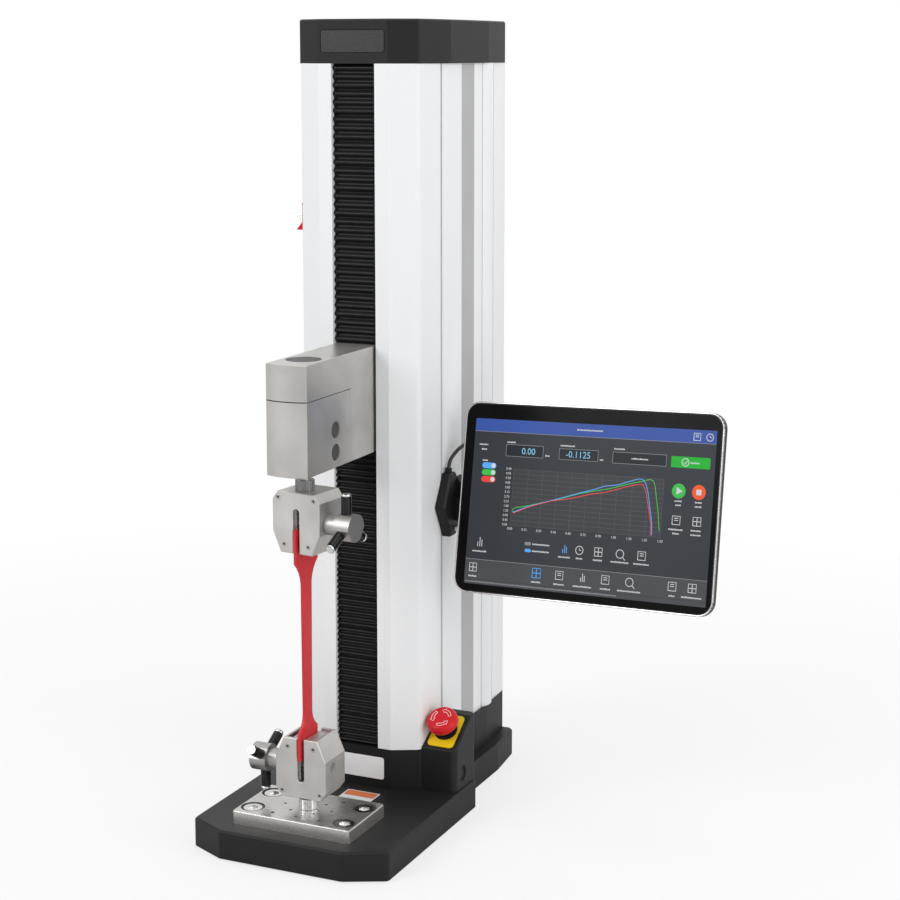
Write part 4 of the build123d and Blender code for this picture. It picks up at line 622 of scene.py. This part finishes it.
# %% Press out slabs
def on_plane(points, plane, lift):
    """Points (x, y) in millimetres on a plane given by origin, right and up, raised by lift."""
    origin, right, up = (np.asarray(part, float) for part in plane)
    flat = np.asarray(points, float)
    return (origin + flat[:, :1] * right + flat[:, 1:] * up + lift * np.cross(right, up)) * mm


def slab(outline, plane, lift, thick):
    """Closed slab over an anticlockwise outline, from lift to lift plus thick."""
    rings = [on_plane(outline, plane, height) for height in (lift, lift + thick)]
    return closed_shape(np.stack(rings))


def ribbon(path, width, plane, lift, thick):
    """Closed band along a path: a small rectangle at each point, square to the path there."""
    line = np.asarray(path, float)
    way = np.gradient(line, axis=0)
    way /= np.linalg.norm(way, axis=1, keepdims=True)
    side = np.stack((-way[:, 1], way[:, 0]), -1) * width / 2
    section = ((1, 0), (1, 1), (-1, 1), (-1, 0))
    rings = [on_plane(line + side * s, plane, lift + thick * h) for s, h in section]
    return closed_shape(np.stack(rings, 1))


def disc(x, y, radius, count=28):
    """Anticlockwise circle round (x, y)."""
    angle = np.linspace(0, 2 * math.pi, count, endpoint=False)
    return np.stack((x + radius * np.cos(angle), y + radius * np.sin(angle)), -1)


def film(name, shapes, material, body, smooth=False):
    """One piece of several closed shapes, which rides on a body."""
    piece = make_piece(name, shapes, material, smooth)
    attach(piece, body)
    return piece


grey_film = moulded(
    "grey_side_film", (0.40, 0.40, 0.405), (0.44, 0.44, 0.445), 0.42, 0.5, 1300.0, 0.00001
)
label_film = moulded(
    "white_label_film", (0.90, 0.905, 0.91), (0.94, 0.945, 0.95), 0.3, 0.38, 700.0, 0.000005
)
orange_film = moulded(
    "orange_label_band", (0.74, 0.17, 0.03), (0.80, 0.20, 0.04), 0.32, 0.4, 700.0, 0.000005
)
badge_film = moulded("black_badge_film", (0.010,) * 3, (0.015,) * 3, 0.22, 0.3, 700.0, 0.000004)
silver_rim = brushed(
    "tablet_silver_rim", (0.60, 0.60, 0.61), (0.68, 0.68, 0.69), 0.16, 0.24, "x", 0.000002
)

# %% Lay the films on the column, the cap, the foot and the base
tower_front = -29.9
column_side = 68.2
film_sunk = -0.05
film_thick, badge_thick, foot_label_thick, band_thick = 0.15, 0.35, 0.2, 0.05
stripe_near, stripe_far, stripe_low, stripe_high = 76, 107, 72.0, 755.0
stripe_round = 0.5
right_side = ((column_side, 0, 0), (0, 1, 0), (0, 0, 1))
left_side = ((-column_side, 0, 0), (0, -1, 0), (0, 0, 1))
right_edge = rounded_outline(stripe_near, stripe_far, stripe_low, stripe_high, stripe_round, 3)
left_edge = rounded_outline(-stripe_far, -stripe_near, stripe_low, stripe_high, stripe_round, 3)
stripe_right = slab(right_edge, right_side, film_sunk, film_thick)
stripe_left = slab(left_edge, left_side, film_sunk, film_thick)
film("column_side_films", [stripe_right, stripe_left], grey_film, "machine")
tower_face = ((0, tower_front, 0), (1, 0, 0), (0, 0, 1))
badge = slab(rounded_outline(-34, 34, 766.4, 787.2, 2.5), tower_face, film_sunk, badge_thick)
film("cap_badge_blank", [badge], badge_film, "machine")
foot_outline = rounded_outline(-30, 30, 39, 62, 2.5)
foot_label = slab(foot_outline, tower_face, film_sunk, foot_label_thick)
film("foot_label_blank", [foot_label], label_film, "machine")
base_level = ((0, 0, 30), (1, 0, 0), (0, 1, 0))
patch_back, band_back, patch_front = -46.0, -47.2, -78.0
band_front = -60.0
white_outline = rounded_outline(-2, 34, patch_front, patch_back, 1.2)
white_part = slab(white_outline, base_level, film_sunk, film_thick)
orange_outline = rounded_outline(-0.8, 32.8, band_front, band_back, 0.4)
orange_part = slab(orange_outline, base_level, film_sunk + film_thick, band_thick)
film("base_label_blank", [white_part], label_film, "machine")
film("base_label_band", [orange_part], orange_film, "machine")
print("films laid")


# %% Set the screws of the grip plates
def hexagon(radius, count):
    """Round of points on a hexagon: flat / cos(a - 30 degrees) within each sixth of a turn."""
    angle = np.linspace(0, 2 * math.pi, count, endpoint=False)
    within = np.mod(angle, math.pi / 3) - math.pi / 6
    reach = radius * math.cos(math.pi / 6) / np.cos(within)
    return np.stack((reach * np.cos(angle), reach * np.sin(angle)), -1)


def socket_screw(x, y, plane):
    """Flush screw: a low rounded rim, and a hexagon socket that goes down inside it."""
    count = 36
    profile = ((2.6, -0.2), (2.6, 0.1), (2.4, 0.22), (1.5, 0.22))
    rings = [on_plane(disc(x, y, radius, count), plane, lift) for radius, lift in profile]
    rings += [on_plane(hexagon(1.3, count) + (x, y), plane, lift) for lift in (0.22, 0.03)]
    return closed_shape(np.stack(rings))


plate_faces = ((-15.4, 1), (24.6, -1))
screw_wide, screw_narrow = 20.4, 13.8
socket_radius, socket_floor, socket_skin = 1.25, 0.031, 0.02


def plate_planes(turn):
    """The front and back face of a grip's plates, turned about the load axis."""
    cos, sin = math.cos(turn), math.sin(turn)
    planes = []
    for offset, way in plate_faces:
        origin = (-offset * sin, load_y + offset * cos, 0)
        planes.append((origin, (way * cos, way * sin, 0), (0, 0, 1)))
    return planes


for grip, body, turn, wide_z, narrow_z in (
    ("lower", "machine", 0.0, 62.8, 107.7), ("upper", "crosshead", upper_turn, 351.2, 306.3),
):
    spots = [(side * x, z, plane) for plane in plate_planes(turn) for side in (-1, 1)
             for x, z in ((screw_wide, wide_z), (screw_narrow, narrow_z))]
    screws = [socket_screw(*spot) for spot in spots]
    film(f"{grip}_plate_screws", screws, nut_steel, body, True)
    # Painted shade: a thin dark hexagon of blackened steel on the floor of each socket stands for
    # the shade in the recess.
    sockets = [slab(hexagon(socket_radius, 24) + (x, z), plane, socket_floor, socket_skin)
               for x, z, plane in spots]
    film(f"{grip}_plate_socket_shades", sockets, dark_steel, body)
print("screws set")

# %% Paint shade into the seam of the crosshead
arm_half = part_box("crosshead_arm")[1][0] / mm
arm_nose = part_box("crosshead_arm")[0][1] / mm
cell_back, seam_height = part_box("load_cell")[1][1] / mm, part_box("load_cell")[1][2] / mm
seam_bow = 4.5
seam_wide, seam_sunk, seam_deep = 0.16, -0.25, 0.5
bow_x = np.linspace(arm_half, -arm_half, 13)
bow = np.stack((bow_x, arm_nose + seam_bow * (bow_x / arm_half) ** 2), -1)
seam_path = np.concatenate([[(arm_half, cell_back)], bow, [(-arm_half, cell_back)]])
seam_level = ((0, 0, seam_height), (1, 0, 0), (0, 1, 0))
# Painted shade: a thin band of blackened steel along the joint of arm and load cell stands for the
# shadow in the gap.
seam = ribbon(seam_path, seam_wide, seam_level, seam_sunk, seam_deep)
film("crosshead_seam_shade", [seam], dark_steel, "crosshead")
print("seam at", round(seam_height, 1))

# %% [markdown]
# ## The mark on the stop button
# Three bent arrows say that the button is released by a turn. They are pale outlines on
# the button's flat face.


# %% Print the arrows
head_face = ((83.5, -7.81434, 105.472), (1, 0, 0), (0, 0.83205, 0.5547))
arrow_inner, arrow_outer, arrow_head = 7.4, 10.2, 1.2
arrow_sweep, arrow_point = math.radians(58), math.radians(22)
arrow_line = 0.42


def bent_arrow(start, sweep, head):
    """Outline of an arrow round the button: outer arc, head and inner arc, back to its start."""
    angle = np.linspace(start, start + sweep, 14)
    unit = np.stack((np.cos(angle), np.sin(angle)), -1)
    tip_angle = start + sweep + head
    tip = (arrow_inner + arrow_outer) / 2 * np.array([(math.cos(tip_angle), math.sin(tip_angle))])
    wings = [unit[-1:] * (arrow_outer + arrow_head), tip, unit[-1:] * (arrow_inner - arrow_head)]
    return np.concatenate(
        [unit * arrow_outer, *wings, unit[::-1] * arrow_inner, unit[:1] * arrow_outer]
    )


outlines = [bent_arrow(math.radians(turn), arrow_sweep, arrow_point) for turn in (20, 140, 260)]
arrows = [ribbon(outline, arrow_line, head_face, film_sunk, film_thick) for outline in outlines]
film("stop_head_arrows", arrows, label_film, "stop_head")
print("arrows printed")

# %% [markdown]
# ## The tablet's lead
# A thin black lead leaves the top of the bracket, bows out and goes down into the hollow
# pin of the arm. A NURBS spline through so many control points has no corners.


# %% Run the lead
lead_exit = (0.0725, 0.0345, 0.3475)
lead_steps = [
    (0, 0, 0), (0, 0, 10), (3.5, 7.5, 19), (8, 18.5, 25.5), (13, 30.5, 26.5), (19.5, 39.5, 19.5),
    (26, 39.5, 8.5), (30, 30.5, -0.5), (32, 19, -7), (32, 13.5, -17.512), (32, 13.5, -25.412),
]
lead_data = bpy.data.curves.new("tablet_lead_cord", "CURVE")
lead_data.dimensions = "3D"
lead_data.bevel_depth = 0.0019
lead_data.bevel_resolution = 5
lead_data.resolution_u = 10
lead_data.use_fill_caps = True
lead_line = lead_data.splines.new("NURBS")
lead_line.points.add(len(lead_steps) - 1)
for point, step in zip(lead_line.points, lead_steps):
    point.co = (*(place + shift * mm for place, shift in zip(lead_exit, step)), 1.0)
lead_line.order_u = 3
lead_line.use_endpoint_u = True
lead_data.materials.append(lead_rubber)
lead = bpy.data.objects.new("tablet_lead_cord", lead_data)
bpy.context.scene.collection.objects.link(lead)
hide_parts("tablet_lead")
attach(lead, "bracket")
print("lead of", len(lead_steps), "control points")

# %% [markdown]
# ## Bright tips on the black handle rods
# Each black rod of a clamp hub ends in a short bright tip, turned from the bar itself.
# The three rods of a hub stand a third of a turn apart, round the clamp's own axis.


# %% Cap the rods
rod_hub, rod_shoulder = 47.05, 29.0
lower_hub_height, upper_hub_height = 87.0, 327.0
tip_profile = ((4.62, 0.05), (4.62, 2.6), (4.2, 3.04))


def rod_tips(turn, height, facing):
    """Tips at the ends of three rods round the hub, whose axis is turned about the load axis."""
    axis = np.array((math.cos(turn), math.sin(turn), 0.0))
    side = np.array((-math.sin(turn), math.cos(turn), 0.0))
    hub = load_axis / mm + (0, 0, height) + math.copysign(rod_hub, facing) * axis
    shapes = []
    for third in range(3):
        angle = 2 * math.pi * third / 3
        way = side * math.sin(angle) + np.array((0, 0, facing * math.cos(angle)))
        plane = (hub + rod_shoulder * way, axis, np.cross(way, axis))
        rings = [on_plane(disc(0, 0, radius), plane, lift) for radius, lift in tip_profile]
        shapes.append(closed_shape(np.stack(rings)))
    return shapes


film(
    "lower_rod_tips", rod_tips(0.0, lower_hub_height, -1), bright_steel, "lower_spindle",
    True
)
film(
    "upper_rod_tips", rod_tips(upper_turn, upper_hub_height, 1), bright_steel, "upper_spindle",
    True
)
print("rods capped")

# %% [markdown]
# ## The picture on the tablet
# The screen shows a stretch test: force against distance, rising evenly until each strip
# breaks. Every mark is a very thin slab on the glass, grouped by colour. The marks glow a
# little by themselves, as a screen does, and the captions are rows of short bars.


# %% Set out the screen
tablet_yaw, tablet_lean, tablet_roll = (math.radians(angle) for angle in (-7.5, 13.3, 2.9))
sin_yaw, cos_yaw = math.sin(tablet_yaw), math.cos(tablet_yaw)
sin_lean, cos_lean = math.sin(tablet_lean), math.cos(tablet_lean)
glass_ahead = np.array((sin_yaw * cos_lean, -cos_yaw * cos_lean, sin_lean))
glass_level = np.array((cos_yaw, sin_yaw, 0.0))
glass_raised = np.cross(glass_ahead, glass_level)
glass_right = glass_level * math.cos(tablet_roll) + glass_raised * math.sin(tablet_roll)
glass_up = np.cross(glass_ahead, glass_right)
glass = ((229.0, 7.0, 334.4), glass_right, glass_up)
layer = 0.04


def underside(number):
    """Underside of this layer of marks: half of it is sunk in the layer below."""
    return number * layer - layer / 2


def lit(name, colour):
    """Screen colour: nearly all of it is light, uneven by a few percent like a back-light."""
    material = new_finish(name, (0.01,) * 3, 0.3, Specular_IOR_Level=0.1)
    nodes, links = material.node_tree.nodes, material.node_tree.links
    shader_of(material).inputs["Emission Color"].default_value = (*colour, 1.0)
    level = spread(material, noise_in(material, 24.0), 0.94, 1.04)
    links.new(level, shader_of(material).inputs["Emission Strength"])
    return material


def box_marks(boxes, floor_layer, radius=0.0):
    """Slabs for (left, right, low, high) boxes, with corners rounded by radius."""
    shapes = []
    for left, right, low, high in boxes:
        rounding = min(max(radius, 0.05), (right - left) / 2.01, (high - low) / 2.01)
        outline = rounded_outline(left, right, low, high, rounding, 4)
        shapes.append(slab(outline, glass, underside(floor_layer), layer))
    return shapes


def line_marks(lines, width, floor_layer):
    """Bands of one width along each line of (x, y) points."""
    return [ribbon(line, width, glass, underside(floor_layer), layer) for line in lines]


def frame_lines(boxes):
    """The four edges of each (left, right, low, high) box as lines."""
    return [line for left, right, low, high in boxes for line in (
        ((left, low), (right, low)), ((left, high), (right, high)),
        ((left, low), (left, high)), ((right, low), (right, high)),
    )]


def on_screen(name, shapes, material):
    """A group of marks in one colour on the tablet."""
    return film(name, shapes, material, "tablet")


slate = lit("screen_slate", (0.030, 0.036, 0.044))
header_blue = lit("screen_header_blue", (0.035, 0.085, 0.36))
bar_grey = lit("screen_bar_grey", (0.062, 0.066, 0.074))
dark_box = lit("screen_box_dark", (0.012, 0.018, 0.024))
chart_grey = lit("screen_chart_grey", (0.042, 0.046, 0.052))
grid_grey = lit("screen_grid_grey", (0.10, 0.105, 0.115))
pale_ink = lit("screen_pale_ink", (0.62, 0.64, 0.67))
dim_ink = lit("screen_dim_ink", (0.24, 0.25, 0.27))
number_blue = lit("screen_number_blue", (0.25, 0.55, 0.78))
go_green = lit("screen_green", (0.01, 0.42, 0.03))
line_green = lit("screen_line_green", (0.04, 0.50, 0.07))
line_blue = lit("screen_line_blue", (0.10, 0.38, 0.88))
line_red = lit("screen_line_red", (0.80, 0.06, 0.05))
halt_orange = lit("screen_orange", (0.85, 0.10, 0.02))
print("screen colours mixed")

# %% Draw the screen's panels and boxes
chart_left, chart_right, chart_low, chart_high = -80.5, 82.0, -25.0, 30.0
value_boxes = [(-91, -49.5, 42.5, 54), (-31.7, 10.7, 42.6, 53), (26.6, 83, 42.3, 53)]
on_screen("screen_ground", box_marks([(-128, 133, -86, 78.5)], 0, 1.0), slate)
on_screen("screen_header", box_marks([(-127.8, 132.8, 66, 78.3)], 1), header_blue)
on_screen(
    "screen_toolbar", box_marks([(-127.8, 132.8, -81, -61.5), (-127.8, 132.8, -85.8, -81.4)], 1),
    bar_grey
)
on_screen(
    "screen_rules",
    line_marks([((-127.8, 65.8), (132.8, 65.8)), ((-127.8, -61.5), (132.8, -61.5))], 0.5, 2),
    dim_ink
)
on_screen("screen_value_boxes", box_marks(value_boxes, 1, 0.8), dark_box)
on_screen("screen_value_frames", line_marks(frame_lines(value_boxes), 0.45, 2), dim_ink)
on_screen(
    "screen_chart", box_marks([(chart_left, chart_right, chart_low, chart_high)], 1), chart_grey
)
columns = np.linspace(chart_left, chart_right, 11)
rows = np.linspace(chart_low, chart_high, 13)
grid_upright = [((x, chart_low), (x, chart_high)) for x in columns]
grid_level = [((chart_left, y), (chart_right, y)) for y in rows]
on_screen("screen_chart_grid", line_marks(grid_upright + grid_level, 0.28, 2), grid_grey)
print("panels drawn")


# %% Draw the curves
curves = {
    "green": (line_green, [
        (-79, -12.4), (-78.4, -9.2), (-75.4, -7.7), (-60.2, -4.5), (-47.2, -1), (-27.3, 4.3),
        (-7.6, 10.4), (8.2, 14), (24.2, 17.2), (43.5, 22.7), (58.9, 26.7), (67.5, 29.1),
        (71.5, 27.5), (73.3, 22.4), (75.7, 10.4), (78.6, -3.6), (79, -8.4), (80.5, -19),
    ]),
    "blue": (line_blue, [
        (-78, -12.3), (-61.2, -5.4), (-27.3, 4.7), (-2.7, 12.4), (8.9, 15.6), (20, 19.5),
        (34.7, 21.9), (43.4, 24.9), (54.9, 28.6), (59.7, 28.7), (63.4, 24.8), (66.5, 15.9),
        (69.5, 1.4), (70.9, -4.5), (72.5, -13.1), (73.1, -23.4),
    ]),
    "red": (line_red, [
        (-78, -13.2), (-61.1, -5.9), (-37.2, 1.4), (-14.2, 5.6), (4.8, 10.7), (22.5, 14),
        (43.7, 20.6), (53.3, 23.1), (60.6, 23.8), (64, 17.5), (67.4, 4.7), (69.5, -4.6),
        (71.5, -12.4), (71.9, -23.9),
    ]),
}
for height, (colour_name, (ink, line)) in enumerate(curves.items()):
    on_screen(f"screen_curve_{colour_name}", line_marks([line], 0.75, 3 + height), ink)
pills = {"blue": (line_blue, 32), "green": (line_green, 25.2), "red": (line_red, 18.4)}
knobs = []
for colour_name, (ink, y) in pills.items():
    on_screen(
        f"screen_switch_{colour_name}", box_marks([(-117, -101, y - 2.9, y + 2.9)], 1, 2.8), ink
    )
    knobs.append(slab(disc(-104.2, y, 2.3, 20), glass, underside(2), layer))
on_screen("screen_switch_knobs", knobs, pale_ink)
print("curves drawn")

# %% Draw buttons and icons
on_screen("screen_result_button", box_marks([(88, 128, 42, 52.5)], 1, 1.0), go_green)
ring = disc(102.7, 47.2, 3.6, 24)
tick = [(100.8, 47.0), (102.3, 45.3), (104.9, 49.0)]
on_screen(
    "screen_result_mark", line_marks([np.concatenate((ring, ring[:1])), tick], 0.8, 2), pale_ink
)
on_screen("screen_start_disc", [slab(disc(97.8, 20, 7), glass, underside(1), layer)], line_green)
on_screen("screen_stop_disc", [slab(disc(118.4, 20, 7), glass, underside(1), layer)], halt_orange)
play = [(95.6, 16.4), (101.8, 20.0), (95.6, 23.6)]
button_marks = [slab(play, glass, underside(2), layer)] + box_marks([(115.8, 121, 17.4, 22.6)], 2)
on_screen("screen_button_marks", button_marks, pale_ink)


square_round = ((-1, -1), (1, -1), (1, 1), (-1, 1), (-1, -1))


def icon(x, y, half, kind):
    """Small line icon in a square: sheet, bars, clock, cross-hair or magnifier, by its number."""
    frame_line = [(x + dx * half, y + dy * half) for dx, dy in square_round]
    ring_line = np.concatenate((disc(x, y, half, 18), disc(x, y, half, 18)[:1]))
    inner = half * 0.5
    marks = (
        [frame_line, [(x - inner, y + inner), (x + inner, y + inner)],
         [(x - inner, y), (x + inner, y)]],
        [[(x + dx, y - half), (x + dx, y + top)]
         for dx, top in ((-inner, 0.0), (0.0, half), (inner, inner))],
        [ring_line, [(x, y + inner), (x, y), (x + inner, y)]],
        [frame_line, [(x - half, y), (x + half, y)], [(x, y - half), (x, y + half)]],
        [ring_line, [(x + half * 0.7, y - half * 0.7), (x + half * 1.4, y - half * 1.4)]],
    )
    return marks[kind % len(marks)]


icon_places = [
    (113, 71.8, 3.4, 0), (126, 71.8, 3.4, 2), (97.2, -7.6, 4, 0), (118.4, -7.4, 4, 3),
    (-113, -44, 4.6, 1), (-2, -43.7, 4, 2), (18.4, -43.7, 4, 3), (41.4, -43.7, 4, 4),
    (64.3, -43.7, 4, 0), (-118.8, -69.5, 4, 3), (-21.8, -69.5, 4, 0), (3.5, -69.5, 4, 1),
    (27.9, -69.5, 4, 0), (53.4, -69.5, 4, 4), (97.8, -69.5, 4, 0), (118.3, -69.5, 4, 3),
]
icon_lines = [line for place in icon_places for line in icon(*place)]
on_screen("screen_icons", line_marks(icon_lines, 0.7, 2), pale_ink)
blue_lines = icon(-18, -43.7, 4, 1) + icon(-47.1, -69.5, 4.6, 3)
on_screen("screen_chosen_icons", line_marks(blue_lines, 0.8, 2), line_blue)
on_screen("screen_axis_switch_off", box_marks([(-62.5, -55.5, -43.4, -40.2)], 1, 1.5), dim_ink)
on_screen("screen_axis_switch_on", box_marks([(-62, -55, -50, -46.8)], 1, 1.5), line_blue)
print(len(icon_places), "icons drawn")

# %% Draw the captions
captions = [
    (-112, -122, 52.7), (-113, -119, 48), (-81, -90.4, 56.3), (-42, -47, 45), (-15, -31, 56),
    (16.6, 12.7, 44.5), (39, 27.4, 56), (64, 46.4, 47.6), (117, 108, 47), (-111, -117, 37),
    (101.7, 94, 10.5), (101, 95, 6.7), (122, 115, 10.4), (122, 115, 6.5), (104.5, 89.7, -16.3),
    (101, 94, -20), (123, 112.6, -16), (123, 112.6, -20), (-105, -121, -53.3), (-35, -54, -41.8),
    (-35, -54, -48.5), (-11.7, -24.8, -51.6), (1.8, -5.4, -51.6), (23, 13, -51.6), (51, 32, -51.6),
    (72.4, 56, -51.6), (-114, -123.5, -78.2), (-42, -52.5, -78.2), (-16, -27.8, -78.2),
    (13.4, -6.7, -78.2), (33.7, 22.7, -78.2), (65.5, 41, -78.2), (101, 94.6, -78.2),
    (128.3, 107.5, -78.2), (14, -14, 72.2),
]
bar_random = np.random.default_rng(11)


def caption_bars(right, left, y, tall=1.5, letter=1.25):
    """A row of short bars of uneven height from left to right."""
    count = max(int((right - left) / letter), 3)
    edges = np.linspace(left, right, count + 1)
    tops = y + tall / 2 * bar_random.uniform(0.5, 1.1, count)
    gap = letter * 0.14
    return [(a + gap, b - gap, y - tall / 2, top) for a, b, top in zip(edges, edges[1:], tops)]


bars = [bar for caption in captions for bar in caption_bars(*caption)]
on_screen("screen_captions", box_marks(bars, 2), pale_ink)
footer = caption_bars(40.7, -126.7, -83.5, 1.4, 1.6)
on_screen("screen_footer_captions", box_marks(footer, 2), dim_ink)
print(len(bars), "bars")


# %% Set the numbers
number_lift = 2.5 * layer


def number_piece(name, numbers, material):
    """Numbers (text, x, y, height) set in Blender's own face and laid on the glass."""
    shapes = []
    for text, x, y, height in numbers:
        text_data = bpy.data.curves.new("number", "FONT")
        text_data.body, text_data.size, text_data.extrude = text, height, layer / 2
        text_data.align_x, text_data.align_y = "CENTER", "CENTER"
        text_data.resolution_u = 3
        text_object = bpy.data.objects.new("number", text_data)
        mesh = bpy.data.meshes.new_from_object(text_object)
        points = np.empty(len(mesh.vertices) * 3)
        mesh.vertices.foreach_get("co", points)
        points = points.reshape(-1, 3)
        lifted = (points[:, 2:] + number_lift) * glass_ahead * mm
        laid = on_plane(points[:, :2] + (x, y), glass, 0) + lifted
        shapes.append((laid, [list(face.vertices) for face in mesh.polygons]))
        bpy.data.objects.remove(text_object)
        bpy.data.meshes.remove(mesh)
    return on_screen(name, shapes, material)


readings = [("0.00", -65.8, 47.9, 9.0), ("-0.1125", -10.8, 47.6, 9.0)]
number_piece("screen_readings", readings, number_blue)
scale_numbers = [(f"{0.45 * step:.2f}", -86.5, y, 3.4) for step, y in enumerate(rows)]
scale_numbers += [(f"{0.15 * step:.2f}", x, -28.6, 3.4) for step, x in enumerate(columns)]
number_piece("screen_scale_numbers", scale_numbers, pale_ink)
print(len(readings) + len(scale_numbers), "numbers set")

# %% [markdown]
# ## The tablet's rim
# A thin bright edge runs round the glass: the bare metal of the tablet's frame.


# %% Roll the rim
glass_half_wide, glass_half_tall, glass_round = 140.0, 95.0, 15.0
rim_steps = 7


def rim(half_wide, half_tall, radius, section):
    """Closed band round the glass: its section (out, lift) set out from the edge's points."""
    rings = []
    for out, lift in section:
        wide, tall = half_wide + out, half_tall + out
        outline = rounded_outline(-wide, wide, -tall, tall, radius + out, rim_steps)
        rings.append(on_plane(outline, glass, lift))
    rings = np.stack(rings + rings[:1])
    faces = grid_faces(len(rings), rings.shape[1])
    around = (len(rings) - 1) * rings.shape[1]
    return rings[:-1].reshape(-1, 3), np.mod(faces, around).tolist()


rim_section = ((-1.3, -0.05), (0.08, -1.5), (0.08, -0.35), (-0.2, 0.06), (-1.2, 0.08))
rim_band = rim(glass_half_wide, glass_half_tall, glass_round, rim_section)
film("tablet_rim", [rim_band], silver_rim, "tablet", True)
print("rim rolled")
